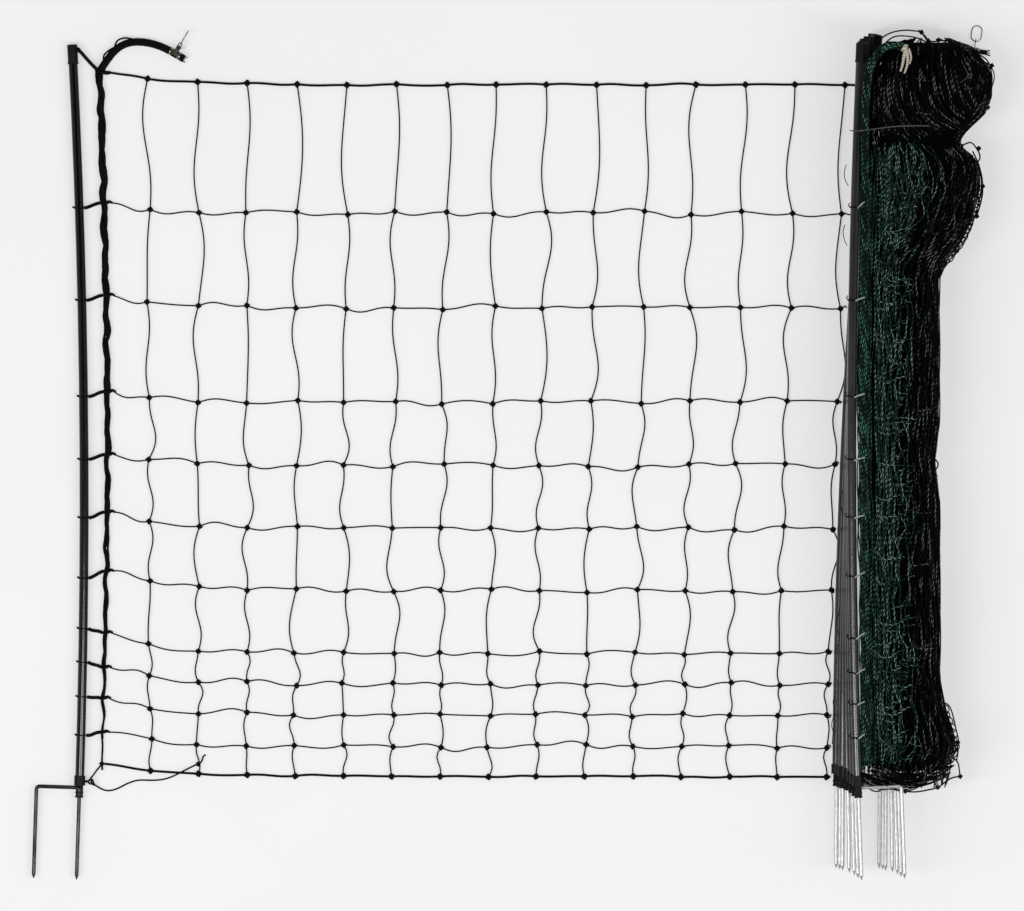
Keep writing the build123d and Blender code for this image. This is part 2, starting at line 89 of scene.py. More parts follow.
def fill(node: bpy.types.Node, **inputs: object) -> None:
    """Give a node's sockets their values and links.

    Args:
        node: The node.
        inputs: By socket name with underscores for spaces, or in0, in1 for a place: a value or a source socket.
    """
    for name, value in inputs.items():
        numbered = name.startswith("in") and name[2:].isdigit()
        socket = node.inputs[int(name[2:])] if numbered else node.inputs[name.replace("_", " ")]
        if isinstance(value, Socket):
            node.id_data.links.new(value, socket)
        else:
            socket.default_value = value


def add_node(tree: Tree, kind: str, settings: dict | None = None, **inputs: object) -> bpy.types.Node:
    """Add a node.

    Args:
        tree: The node tree.
        kind: The node's type name without its prefix.
        settings: Attributes of the node itself.
        inputs: What fill takes.

    Returns:
        The new node.
    """
    node = tree.nodes.new(f"ShaderNode{kind}")
    for name, value in (settings or {}).items():
        setattr(node, name, value)
    fill(node, **inputs)
    return node


def maths(tree: Tree, operation: str, *values: object) -> Socket:
    """The result of one sum on values or sockets."""
    inputs = {f"in{i}": value for i, value in enumerate(values)}
    return add_node(tree, "Math", {"operation": operation}, **inputs).outputs[0]


def rescaled(tree: Tree, value: Socket, **limits: float) -> Socket:
    """A value mapped from one range to another; limits left out are 0 and 1."""
    return add_node(tree, "MapRange", Value=value, **limits).outputs["Result"]


def ramp(tree: Tree, source: Socket, stops: list[tuple[float, str]]) -> Socket:
    """Map a value to colours.

    Args:
        tree: The node tree.
        source: The value.
        stops: Place and sRGB hex colour of each stop.

    Returns:
        The colour socket.
    """
    node = add_node(tree, "ValToRGB", Fac=source)
    elements = node.color_ramp.elements
    while len(elements) < len(stops):
        elements.new(0.5)
    for element, (place, colour) in zip(elements, stops):
        element.position = place
        element.color = linear(colour)
    return node.outputs["Color"]


def new_material(name: str) -> tuple[bpy.types.Material, Tree, bpy.types.Node]:
    """Start a material: itself, its node tree and its shader."""
    material = bpy.data.materials.new(name)
    material.use_nodes = True
    return material, material.node_tree, material.node_tree.nodes["Principled BSDF"]


@dataclass(frozen=True)
class Finish:
    """A solid surface: its colour varies a little, and its grain bumps it."""

    name: str
    colours: tuple[str, str]  # dark and light patches
    roughness: float
    metallic: float = 0.0
    specular: float = 0.5
    patch_mm: float = 40.0
    grain_mm: float = 0.8
    grain_stretch: float = 1.0  # how much longer the grain is along the post than across it
    bump_mm: float = 0.02

    def build(self) -> bpy.types.Material:
        """Make the material."""
        material, tree, shader = new_material(self.name)
        place = add_node(tree, "TexCoord").outputs["Object"]
        stretch = (1.0, 1.0 / self.grain_stretch, 1.0)
        squeezed = add_node(tree, "Mapping", Vector=place, Scale=stretch).outputs["Vector"]
        patches = add_node(tree, "TexNoise", Vector=place, Scale=1.0 / (self.patch_mm * MM), Detail=4.0)
        scale = 1.0 / (self.grain_mm * MM)
        grain = add_node(tree, "TexNoise", Vector=squeezed, Scale=scale, Detail=2.0).outputs["Fac"]
        bump = add_node(tree, "Bump", Height=grain, Distance=self.bump_mm * MM, Strength=0.6)
        low, high = self.roughness * 0.8, min(1.0, self.roughness * 1.25)
        fill(
            shader,
            Base_Color=ramp(tree, patches.outputs["Fac"], [(0.35, self.colours[0]), (0.68, self.colours[1])]),
            Roughness=rescaled(tree, grain, To_Min=low, To_Max=high),
            Normal=bump.outputs["Normal"],
            Metallic=self.metallic,
            Specular_IOR_Level=self.specular,
        )
        return material


@dataclass(frozen=True)
class TwineFinish:
    """Twisted polyethylene twine with fine steel strands: slanting filaments with painted shade between them,
    broken by pale flecks of painted highlight.
    """

    name: str
    shade: str  # painted shade between the filaments
    body: str  # the filaments
    glint: str  # painted highlight where a filament or a wire catches the light
    glint_share: float = 0.3
    lay_mm: float = 5.0  # one turn of the twist, drawn coarser than the real 3 mm so that it shows
    dash_mm: float = 40.0  # length of a stretch that catches the light
    roughness: float = 0.6
    specular: float = 0.25

    def build(self) -> bpy.types.Material:
        """Make the material."""
        material, tree, shader = new_material(self.name)
        lay = add_node(tree, "UVMap", {"uv_map": LAY_MAP}).outputs["UV"]
        along, around = add_node(tree, "SeparateXYZ", Vector=lay).outputs[:2]
        phase = maths(tree, "MULTIPLY_ADD", around, 2.0, maths(tree, "MULTIPLY", along, 10.0 / self.lay_mm))
        slant = rescaled(tree, maths(tree, "PINGPONG", phase, 0.5), From_Max=0.5)
        dashes = add_node(
            tree, "TexNoise", {"noise_dimensions": "1D"}, W=along, Scale=10.0 / self.dash_mm, Detail=2.0
        ).outputs["Fac"]
        low = 0.66 - 0.3 * self.glint_share
        shown = rescaled(tree, dashes, From_Min=low, From_Max=low + 0.12)
        # Painted highlight: the pale colour goes in dashes on the raised crowns of the filaments.
        glint_mask = maths(tree, "MULTIPLY", shown, rescaled(tree, slant, From_Min=0.5, From_Max=0.8))
        filaments = ramp(tree, slant, [(0.25, self.shade), (0.7, self.body)])
        glint = linear(self.glint)
        mixed = add_node(tree, "Mix", {"data_type": "RGBA"}, in0=glint_mask, in6=filaments, in7=glint)
        fill(
            shader,
            Base_Color=mixed.outputs[2],
            Normal=add_node(tree, "Bump", Height=slant, Distance=0.3 * MM, Strength=0.7).outputs["Normal"],
            Roughness=self.roughness,
            Specular_IOR_Level=self.specular,
        )
        return material


# Extruded PVC tube, black and glossy: it shows sharp lengthwise highlights.
POST_PLASTIC = Finish(
    "black_pvc_tube", ("#020202", "#050506"), 0.09,
    specular=0.38, grain_mm=1.5, grain_stretch=40, bump_mm=0.01,
)
# The same black tube, painted greyer as a painted reflection of the light on it, with broad soft highlights.
PAINTED_SHEEN_PVC = Finish(
    "scuffed_pvc_tube", ("#131318", "#26262d"), 0.16,
    grain_mm=1.5, grain_stretch=40, patch_mm=90, bump_mm=0.003,
)
# Injection-moulded nylon blocks and caps: a fine spark-eroded texture, so the gloss is broken.
MOULDED_NYLON = Finish(
    "moulded_nylon", ("#020203", "#070708"), 0.4,
    specular=0.15, grain_mm=0.6, bump_mm=0.04,
)
# Cold-drawn wire, oiled dark: die marks run along it.
DRAWN_STEEL = Finish(
    "dark_drawn_steel", ("#26272a", "#434448"), 0.3,
    metallic=1.0, grain_mm=0.7, grain_stretch=20,
)
# Hot-dip zinc: nearly white, mottled by the spangle.
ZINC = Finish(
    "galvanised_wire", ("#adb0ae", "#c6c8c6"), 0.36,
    metallic=1.0, patch_mm=6, grain_mm=1.0, bump_mm=0.004,
)
# Nickel plate over stamped steel: warm and bright, fine scratches.
NICKEL = Finish("nickel_plate", ("#5a574f", "#aaa599"), 0.2, metallic=1.0, patch_mm=5, grain_mm=0.4)
# Painted shade for the depth of the roll between strands, where folds shade each other: matt and almost black.
PAINTED_FOLD_SHADE = Finish(
    "deep_net_folds", ("#010101", "#030504"), 0.95,
    specular=0.02, patch_mm=14, grain_mm=3, bump_mm=1.2,
)
# Braided cotton cord, undyed: dull and fuzzy.
COTTON_CORD = TwineFinish(
    "cotton_cord", "#8f8a7c", "#c9c4b6", "#e8e4d8",
    lay_mm=4, roughness=0.9, specular=0.1,
)
# Grey polyester string: a little sheen, slanting strands.
GREY_STRING = TwineFinish("grey_polyester_string", "#2e3132", "#5b6060", "#8b9090", roughness=0.8)
# Heat-shrunk sleeve on the roll's ties, pale grey.
PALE_GREY_SLEEVE = Finish("pale_grey_sleeve", ("#77777a", "#b0afb0"), 0.6, patch_mm=5, grain_mm=1.0)
# Twine of the open bay: black polyethylene, hardly any gloss.
BLACK_TWINE = TwineFinish(
    "black_poly_twine", "#020202", "#070707", "#161717",
    glint_share=0.2, specular=0.08,
)
# Twine of the roll's right side: black; its grey dashes are partly its steel strands and partly painted
# highlight.
ROLL_BLACK_TWINE = TwineFinish(
    "black_twine_with_steel", "#010101", "#050606", "#757a78",
    glint_share=0.36, lay_mm=8, dash_mm=60, specular=0.04,
)
# Twine of the roll's left side: dark green and black filaments, with pale green painted highlights.
GREEN_TWINE = TwineFinish(
    "green_poly_twine", "#020605", "#153528", "#7c9d8f",
    glint_share=0.6, lay_mm=8, dash_mm=60, specular=0.06,
)
# Bright edge rope of the far end: green, with pale green painted highlights.
GREEN_ROPE = TwineFinish(
    "green_edge_rope", "#020705", "#0b2018", "#4a7d68",
    glint_share=0.62, lay_mm=7, dash_mm=60, specular=0.08,
)
# Thin tinned copper and steel wire ends.
WIRE = Finish("bare_wire", ("#3c3d3d", "#6b6c6a"), 0.4, metallic=1.0)
# A light table of matt opal acrylic: it glows evenly, so shadows on it stay faint.
OPAL = Finish("opal_acrylic_table", ("#aeaeae", "#b1b1b1"), 0.9, specular=0.1, patch_mm=400, grain_mm=4)

_made: dict[str, bpy.types.Material] = {}


def material_of(finish: Finish | TwineFinish) -> bpy.types.Material:
    """The material of a finish, made once."""
    if finish.name not in _made:
        _made[finish.name] = finish.build()
    return _made[finish.name]


# ---- lines and strands ----
def scatter(a: float, b: float) -> float:
    """A repeatable number from -1 to 1 for a pair of numbers."""
    value = math.sin(12.9898 * a + 78.233 * b) * 43758.5453
    return 2 * (value - math.floor(value)) - 1


def mix(a: float, b: float, share: float) -> float:
    """The number that lies this share of the way from a to b."""
    return a + (b - a) * share


def eased(points: list, step: float = 5.0) -> list[Vector]:
    """Put a smooth curve through points.

    Args:
        points: The places it goes through.
        step: How far apart the new points are.

    Returns:
        Points along a Catmull-Rom curve.
    """
    places = [Vector(p) for p in points]
    ends = [places[0] * 2 - places[1], *places, places[-1] * 2 - places[-2]]
    out = []
    for before, start, end, after in zip(ends, ends[1:], ends[2:], ends[3:]):
        count = max(1, round((end - start).length / step))
        for i in range(count):
            t = i / count
            place = 2 * start + (end - before) * t
            place += (2 * before - 5 * start + 4 * end - after) * t * t
            place += (3 * start - before - 3 * end + after) * t**3
            out.append(0.5 * place)
    return [*out, places[-1]]


def cord_line(name: str, route: tuple[Point, ...]) -> list[Vector]:
    """Read a smooth line from a spline whose control points are the route.

    Args:
        name: What the curve is called.
        route: Its control points.

    Returns:
        Points along the spline.
    """
    curve = bpy.data.curves.new(name, "CURVE")
    curve.dimensions = "3D"
    curve.resolution_u = 12
    spline = curve.splines.new("NURBS")
    spline.points.add(len(route) - 1)
    for point, place in zip(spline.points, route):
        point.co = (*place, 1.0)
    spline.order_u = 3
    spline.use_endpoint_u = True
    holder = bpy.data.objects.new(name, curve)
    bpy.context.collection.objects.link(holder)
    bpy.context.view_layer.update()
    mesh = bpy.data.meshes.new_from_object(holder.evaluated_get(bpy.context.evaluated_depsgraph_get()))
    line = [v.co.copy() for v in mesh.vertices]
    bpy.data.objects.remove(holder)
    bpy.data.meshes.remove(mesh)
    return line


def lengths_along(line: list[Vector]) -> list[float]:
    """How far along a line each of its points lies."""
    run = [0.0]
    for a, b in zip(line, line[1:]):
        run.append(run[-1] + (b - a).length)
    return run


def frames_along(line: list[Vector]) -> list[tuple[Vector, Vector]]:
    """Carry two cross directions along a line without twisting them; one pair for each point."""
    last = len(line) - 1
    out = []
    side = None
    for i in range(len(line)):
        way = (line[min(i + 1, last)] - line[max(i - 1, 0)]).normalized()
        if side is None:
            side = way.cross(Vector((0, 0, 1)) if abs(way.z) < 0.8 else Vector((1, 0, 0)))
        side = (side - way * side.dot(way)).normalized()
        out.append((side, side.cross(way)))
    return out


def tube_faces(base: int, rings: int, sides: int) -> list[tuple[int, ...]]:
    """Faces of a closed tube.

    Args:
        base: Number of its first vertex.
        rings: How many rings of vertices it has.
        sides: Vertices in a ring.

    Returns:
        Its walls ring by ring, then its two ends.
    """
    faces = []
    for row in range(base, base + (rings - 1) * sides, sides):
        for k in range(sides):
            after = (k + 1) % sides
            faces.append((row + k, row + after, row + sides + after, row + sides + k))
    faces.append(tuple(base + k for k in reversed(range(sides))))
    faces.append(tuple(base + (rings - 1) * sides + k for k in range(sides)))
    return faces


def add_object(name: str, verts: list, faces: list, finish: Finish | TwineFinish) -> bpy.types.Object:
    """Make an object of one material.

    Args:
        name: Its name.
        verts: Corners in metres.
        faces: Corner numbers of each face.
        finish: Its finish.

    Returns:
        The new object.
    """
    mesh = bpy.data.meshes.new(name)
    mesh.from_pydata(verts, [], faces)
    mesh.polygons.foreach_set("use_smooth", [True] * len(faces))
    mesh.materials.append(material_of(finish))
    piece = bpy.data.objects.new(name, mesh)
    bpy.context.collection.objects.link(piece)
    LOG.info("%s: %d faces", name, len(faces))
    return piece


class StrandMesh:
    """Gathers round strands and knots and makes one mesh of them."""

    def __init__(self) -> None:
        """Start empty."""
        self.verts: list[Vector] = []
        self.faces: list[tuple[int, ...]] = []
        self.lays: list[tuple[float, float]] = []
        self.strands = 0

    def strand(
        self, line: list[Vector], radius: float, sides: int = 6, end_radius: float | None = None
    ) -> None:
        """Add a round strand with closed ends.

        Args:
            line: Points along its middle.
            radius: Its radius.
            sides: How many flats it has.
            end_radius: Its radius at the far end, if it tapers.
        """
        base = len(self.verts)
        self.strands += 1
        offset = LAY_OFFSET * (self.strands % 97)
        end_radius = radius if end_radius is None else end_radius
        ring = [(math.cos(2 * math.pi * k / sides), math.sin(2 * math.pi * k / sides)) for k in range(sides)]
        run = lengths_along(line)
        total = max(run[-1], 1e-6)
        for place, (side, up), gone in zip(line, frames_along(line), run):
            r = mix(radius, end_radius, gone / total)
            self.verts += [(place + side * (c * r) + up * (s * r)) * MM for c, s in ring]
        self.faces += tube_faces(base, len(line), sides)
        for gone, further in zip(run, run[1:]):
            low, high = gone / 10 + offset, further / 10 + offset
            for k in range(sides):
                v0, v1 = k / sides, (k + 1) / sides
                self.lays += [(low, v0), (low, v1), (high, v1), (high, v0)]
        self.lays += [(0.0, 0.0)] * sides + [(run[-1] / 10, 0.0)] * sides

    def curve(
        self, points: list, step: float, radius: float, sides: int = 6, end_radius: float | None = None
    ) -> None:
        """Add a strand through points, eased at this step."""
        self.strand(eased(points, step), radius, sides, end_radius)

    def loop(self, centre: Vector, axis: Point, ring_radius: float, wire: float, sides: int = 6) -> None:
        """Add a ring round an axis, its two ends meeting."""
        side = Vector(axis).cross(Vector((0, 0, 1)))
        side = side.normalized() if side.length > 0.01 else Vector((1, 0, 0))
        other = Vector(axis).cross(side).normalized()
        turns = [2 * math.pi * k / 18 for k in range(19)]
        line = [centre + (side * math.cos(t) + other * math.sin(t)) * ring_radius for t in turns]
        self.strand(line, wire, sides)

    def knot(self, centre: Vector, size: float, thick: float, turn: float = 0.0) -> None:
        """Add a tied knot: a diamond in plan with four soft corners and a crowned top and bottom.

        Args:
            centre: Its middle.
            size: Corner radius in plan.
            thick: Half its height.
            turn: Turn about z, in radians.
        """
        base = len(self.verts)
        around, levels = 12, (-0.92, -0.5, 0.0, 0.5, 0.92)
        for level in levels:
            width = math.sqrt(1 - level * level)
            for k in range(around):
                a = 2 * math.pi * k / around
                reach = size * width / (abs(math.cos(a)) + abs(math.sin(a))) ** 0.75
                x, y = reach * math.cos(a + turn), reach * math.sin(a + turn)
                self.verts.append((centre + Vector((x, y, level * thick))) * MM)
        self.faces += tube_faces(base, len(levels), around)
        for i in range(len(levels) - 1):
            low, high = i * 0.1, i * 0.1 + 0.1
            for k in range(around):
                self.lays += [(low, k / 6), (low, (k + 1) / 6), (high, (k + 1) / 6), (high, k / 6)]
        self.lays += [(0.0, 0.0)] * (2 * around)

    def piece(
        self, name: str, finish: Finish | TwineFinish, slot: str, nodes: tuple[str, ...] = ()
    ) -> bpy.types.Object:
        """Make the object.

        Args:
            name: The piece's name.
            finish: Its finish.
            slot: The material slot of the record that it takes; not used.
            nodes: CAD nodes that it stands for.

        Returns:
            The new object, not yet riding on anything.
        """
        verts = [(x, y, max(z, FLOOR_GAP * MM)) for x, y, z in self.verts]
        piece = add_object(name, verts, self.faces, finish)
        layer = piece.data.uv_layers.new(name=LAY_MAP)
        layer.data.foreach_set("uv", [value for pair in self.lays for value in pair])
        if nodes:
            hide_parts(*nodes)
        return piece


def bundle(
    mesh: StrandMesh,
    line: list[Vector],
    count: int,
    ring: float,
    strand: float,
    pitch: float,
    flat: float = 1.0,
    sides: int = 6,
) -> None:
    """Twist strands round a line.

    Args:
        mesh: Takes the strands.
        line: The rope's own middle.
        count: How many strands.
        ring: Radius of the circle that their middles lie on.
        strand: Radius of one strand.
        pitch: Length of one turn.
        flat: How much wider than high the bundle is.
        sides: Flats of one strand.
    """
    frames, run = frames_along(line), lengths_along(line)
    for k in range(count):
        path = []
        for place, (side, up), gone in zip(line, frames, run):
            a = 2 * math.pi * (k / count + gone / pitch)
            path.append(place + side * (math.cos(a) * ring * flat) + up * (math.sin(a) * ring / flat))
        mesh.strand(path, strand, sides)


# ---- the open bay ----
@dataclass(frozen=True)
class PostLine:
    """Middle of a lying post, bent sideways by the net."""

    foot: tuple[float, float]
    top: tuple[float, float]
    bow: float
    z: float
    tube_r: float = 7.0

    def middle(self, y: float) -> Vector:
        """The post's middle at a height."""
        share = (y - self.foot[1]) / (self.top[1] - self.foot[1])
        x = mix(self.foot[0], self.top[0], share) + self.bow * (1 - (2 * share - 1) ** 2)
        return Vector((x, y, self.z))


END_POST = PostLine((-662.0, -526.0), (-673.4, 630.0), 12.0, 8.6)
LOWEST_POST = PostLine((499.0, -508.0), (556.0, 647.0), -12.0, 8.6)
FRONT_POST = PostLine((531.0, -525.0), (536.0, 631.0), -12.0, 112.4)


@dataclass
class NetLayout:
    """Where the rows and columns of the open bay cross."""

    row_inches: tuple[int, ...] = (8, 6, 6, 4, 4, 4, 4, 2, 2, 2, 2)
    draw: float = 0.95  # slack netting draws in
    top_y: float = 568.0
    lead_rises: tuple[int, ...] = (20, 12, 15, 12, 12, 20, 26, 28, 23, 24, 20, 20)
    rise_columns: float = 1.3
    first_x: tuple[float, float] = (-557.0, -554.0)
    pitch: tuple[float, float] = (76.4, 74.1)
    columns: int = 15
    sway: float = 3.0
    edge_sway: float = 0.9  # of the top and bottom rows
    net_z: float = 3.4
    lead_ends_x: tuple[float, float] = (-631.0, -628.0)
    lead_bow: float = 10.0
    lead_strand_r: float = 1.5
    lead_lump: float = 1.06  # the lead is a little thicker where a row joins it

    @property
    def last_row(self) -> int:
        """Number of the bottom row."""
        return len(self.row_inches)

    @property
    def edges(self) -> tuple[int, int]:
        """The top and the bottom row."""
        return 0, self.last_row

    def row_y(self, row: int) -> float:
        """Height of a row in the middle of the bay."""
        return self.top_y - self.draw * INCH * sum(self.row_inches[:row])

    def drop(self, row: int) -> float:
        """How far down the net a row lies, from 0 to 1."""
        return (self.top_y - self.row_y(row)) / (self.top_y - self.row_y(self.last_row))

    def knot(self, row: int, column: int) -> Vector:
        """Where a row crosses a column."""
        x_top, x_low = (first + pitch * column for first, pitch in zip(self.first_x, self.pitch))
        lift = self.lead_rises[row] * math.exp(-(column + 1) / self.rise_columns)
        sway = self.edge_sway if row in self.edges else self.sway
        x = mix(x_top, x_low, self.drop(row)) + sway * scatter(row, column)
        return Vector((x, self.row_y(row) + lift + sway * scatter(column, row + 40), self.net_z))

    def resting(self, radius: float) -> float:
        """Height of the lead's middle where it lies on the ground with this radius."""
        return max(self.net_z, radius * self.lead_lump + FLOOR_GAP)

    def lead(self, row: int) -> tuple[Vector, float]:
        """Where a row meets the end lead, and the lead's radius there."""
        drop = self.drop(row)
        x = mix(*self.lead_ends_x, drop) + self.lead_bow * math.sin(math.pi * drop)
        radius = self.lead_strand_r * math.sqrt(self.last_row + 2 - max(row, 1))
        return Vector((x, self.row_y(row) + self.lead_rises[row], self.resting(radius))), radius


@dataclass
class OpenNet:
    """The spread-out bay of netting: slack twine between knots."""

    layout: NetLayout
    strand_r: float = 1.12
    edge_r: float = 1.85
    knot_size: float = 5.4
    edge_knot_size: float = 5.94
    knot_thick: float = 3.3
    settle: float = 5.0  # the rows between the edges lie this much lower at most
    row_bend: float = 5.5
    edge_bend: float = 1.6
    column_bend: float = 9.0  # at most; short ones bend less
    step: float = 6.0
    fold: Point = (0.462, 0, 0)  # metres: where the bay folds up
    fold_half: Point = (0.012, 0, 0)

    def tied(self, row: int, column: int) -> Vector:
        """Where a knot lies once the rows have settled."""
        low = self.settle * math.sin(math.pi * self.layout.drop(row)) ** 0.5 * min(1.0, (column + 1) / 2)
        return self.layout.knot(row, column) - Vector((0, low, 0))

    def slack(self, start: Vector, end: Vector, bend: Point, seed: float) -> list[Vector]:
        """A slack strand between two knots.

        Args:
            start: First knot.
            end: Second knot.
            bend: The most that it strays sideways.
            seed: Picks its shape.

        Returns:
            Points along it, without the last.
        """
        first, second = scatter(seed, 3.1), scatter(seed, 8.7)
        count = max(4, round((end - start).length / 7))
        line = []
        for t in (i / count for i in range(count)):
            stray = first * math.sin(math.pi * t) + 0.55 * second * math.sin(2 * math.pi * t)
            line.append(start.lerp(end, t) + Vector(bend) * stray)
        return line

    def rows(self, mesh: StrandMesh) -> None:
        """Add the twelve lines, from the lead to the lowest stacked post."""
        net = self.layout
        for row in range(net.last_row + 1):
            edge = row in net.edges
            at, radius = net.lead(row)
            places = [Vector((at.x + (0 if row == net.last_row else radius + 5), at.y, net.net_z))]
            places += [self.tied(row, column) for column in range(net.columns)]
            last = places[-1]
            post = LOWEST_POST.middle(last.y).x - LOWEST_POST.tube_r - self.edge_r
            places.append(Vector((post, last.y + 1, net.net_z)))
            bend = (0, self.edge_bend if edge else self.row_bend, 0)
            line = []
            for i, (a, b) in enumerate(zip(places, places[1:])):
                line += self.slack(a, b, bend, row * 31 + i)
            mesh.curve([*line, places[-1]], self.step, self.edge_r if edge else self.strand_r)
            size = self.edge_knot_size if edge else self.knot_size
            for column in range(net.columns):
                mesh.knot(self.tied(row, column), size, self.knot_thick, 0.25 * scatter(row, column + 5))

    def columns(self, mesh: StrandMesh) -> None:
        """Add the upright strands, which bend where the netting was folded."""
        net = self.layout
        for column in range(net.columns):
            line = []
            for row in range(net.last_row):
                a, b = self.tied(row, column), self.tied(row + 1, column)
                reach = min(self.column_bend, 0.075 * (b - a).length + 2.5)
                line += self.slack(a, b, (reach, 0, 0), column * 17 + row + 500)
            mesh.curve([*line, self.tied(net.last_row, column)], self.step, self.strand_r)

    def build(self) -> None:
        """Make the netting."""
        mesh = StrandMesh()
        self.rows(mesh)
        self.columns(mesh)
        lines = [f"net_line_{row + 1:02d}" for row in range(self.layout.last_row + 1)]
        nodes = (*lines, "net_stays", "run_in_lines", "run_in_stays")
        piece = mesh.piece("open_netting", BLACK_TWINE, "twine", nodes)
        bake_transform(piece)


@dataclass
class EndLead:
    """Ends of the rows twisted into one thick lead that runs up beside the post and off to its clip."""

    layout: NetLayout
    pitch: float = 98.0
    tail_route: tuple[Point, ...] = (
        (-630.5, 590.0, 5.2), (-618.6, 609.4, 5.2), (-603.0, 626.0, 5.2), (-585.0, 634.0, 5.2),
        (-562.0, 634.0, 5.2), (-539.0, 628.0, 5.5), (-520.0, 618.6, 6.4), (-502.0, 608.0, 6.5),
    )
    tail_length: float = 153.4
    tail_diameter: float = 10.0
    tail_strands: int = 11
    tail_strand_r: float = 1.9
    loose_r: float = 1.4
    loose: tuple[tuple[Point, ...], ...] = (
        ((-625.0, 602.0, 8.0), (-625.0, 613.0, 9.0), (-617.0, 621.0, 8.5), (-606.0, 627.0, 8.0)),
        ((-609.0, 625.0, 8.0), (-604.0, 636.0, 9.0), (-592.0, 640.0, 8.0), (-579.0, 638.0, 7.0)),
    )
    whisker: tuple[Point, ...] = ((-512.0, 620.0, 12.0), (-506.0, 624.0, 13.0), (-500.0, 625.0, 12.5))

    def upright(self) -> None:
        """Twist one more strand in at each row, and two loose ones where the lead turns off to its tail."""
        net = self.layout
        mesh = StrandMesh()
        places = [net.lead(row)[0] for row in range(net.last_row + 1)]
        heights, middles = [p.y for p in reversed(places)], [p.x for p in reversed(places)]
        top = heights[-1] + 4
        for k in range(net.last_row + 1):
            low = heights[k] - (10 if k < 2 else 2)
            count = max(8, round((top - low) / 6))
            path = []
            for y in (mix(low, top, i / count) for i in range(count + 1)):
                x = float(np.interp(y, heights, middles)) + 1.7 * math.sin(y / 8.2) * math.cos(y / 61.0)
                outer = net.lead_strand_r * math.sqrt(2 + sum(place.y < y for place in places[1:-1]))
                ring = (outer - net.lead_strand_r) * (1.0 if k % 3 else 0.62)
                a = k * 2.4 + 2 * math.pi * y / self.pitch
                wide = 1.22 + 0.14 * math.sin(y / 13.0)
                z = net.resting(outer) + 0.86 * ring * math.sin(a)
                path.append(Vector((x + ring * wide * math.cos(a), y, z)))
            mesh.strand(path, net.lead_strand_r * 1.05)
        for points in self.loose:
            mesh.curve(points, 3, self.loose_r)
        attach(mesh.piece("twisted_end_lead", BLACK_TWINE, "twine", ("end_lead",)), Bodies.BAY.value)

    def tail(self) -> None:
        """Make the free tail of the lead, a cord, to its frayed end beyond the clip."""
        line = cord_line("tail_middle", self.tail_route)
        mesh = StrandMesh()
        ring = self.tail_diameter / 2 - 1.1
        bundle(mesh, line, self.tail_strands, ring, self.tail_strand_r, self.pitch, flat=1.05)
        tip, way = line[-1], (line[-1] - line[-3]).normalized()
        side = way.cross(Vector((0, 0, 1)))
        for k in range(7):
            out = side * (4.4 * math.cos(k * 0.9)) + Vector((0, 0, 3.2 * math.sin(k * 0.9)))
            end = tip + way * (2.5 + 2 * abs(scatter(k, 2))) + out * 1.1
            mesh.strand([tip - way * 6 + out * 0.7, tip + out * 0.9, end], 1.1, 5, 0.5)
        piece = mesh.piece("lead_tail_rope", BLACK_TWINE, "twine", ("lead_tail",))
        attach(piece, Bodies.BAY.value)

    def build(self) -> None:
        """Make the lead, its tail and the loose wire whisker at the clip."""
        self.upright()
        self.tail()
        mesh = StrandMesh()
        mesh.curve(self.whisker, 2, 0.45, 5)
        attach(mesh.piece("clip_whisker", WIRE, "nickel_steel"), Bodies.BAY.value)


@dataclass
class TieCord:
    """Thin cord from the post's foot ring along the ground, knotted to the bottom of the net."""

    route: tuple[Point, ...] = (
        (-637.0, -507.5, 5.5), (-629.0, -513.0, 2.6), (-618.0, -516.0, 1.5), (-604.0, -512.5, 1.4),
        (-588.0, -503.5, 1.4), (-572.0, -498.6, 1.5), (-553.0, -499.6, 2.2), (-535.0, -498.6, 5.0),
        (-520.0, -493.8, 9.2), (-504.0, -485.6, 9.2), (-492.0, -479.5, 6.0), (-483.6, -475.4, 4.2),
    )
    length: float = 165.1
    diameter: float = 2.6
    knot_at: Point = (-480.2, -474.6, 3.9)
    knot_tail: tuple[Point, ...] = ((0, 0, 0), (5, 4, 1), (8, 12, -1), (11.5, 14.5, -2))

    def build(self) -> None:
        """Make the knot with its short tail, and the cord."""
        knot, centre = StrandMesh(), Vector(self.knot_at)
        knot.knot(centre, 4.6, 3.4, 0.4)
        knot.loop(centre, (0.6, 0.4, 0.3), 3.0, 1.1)
        knot.curve([centre + Vector(way) for way in self.knot_tail], 2, self.diameter / 2)
        knot_piece = knot.piece("tie_cord_knot", BLACK_TWINE, "twine", ("tie_knot",))
        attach(knot_piece, Bodies.BAY.value)
        line = cord_line("tie_middle", self.route)
        cord = StrandMesh()
        cord.strand(line, self.diameter / 2, 8)
        piece = cord.piece("tie_cord_line", BLACK_TWINE, "twine", ("tie_cord",))
        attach(piece, Bodies.BAY.value)


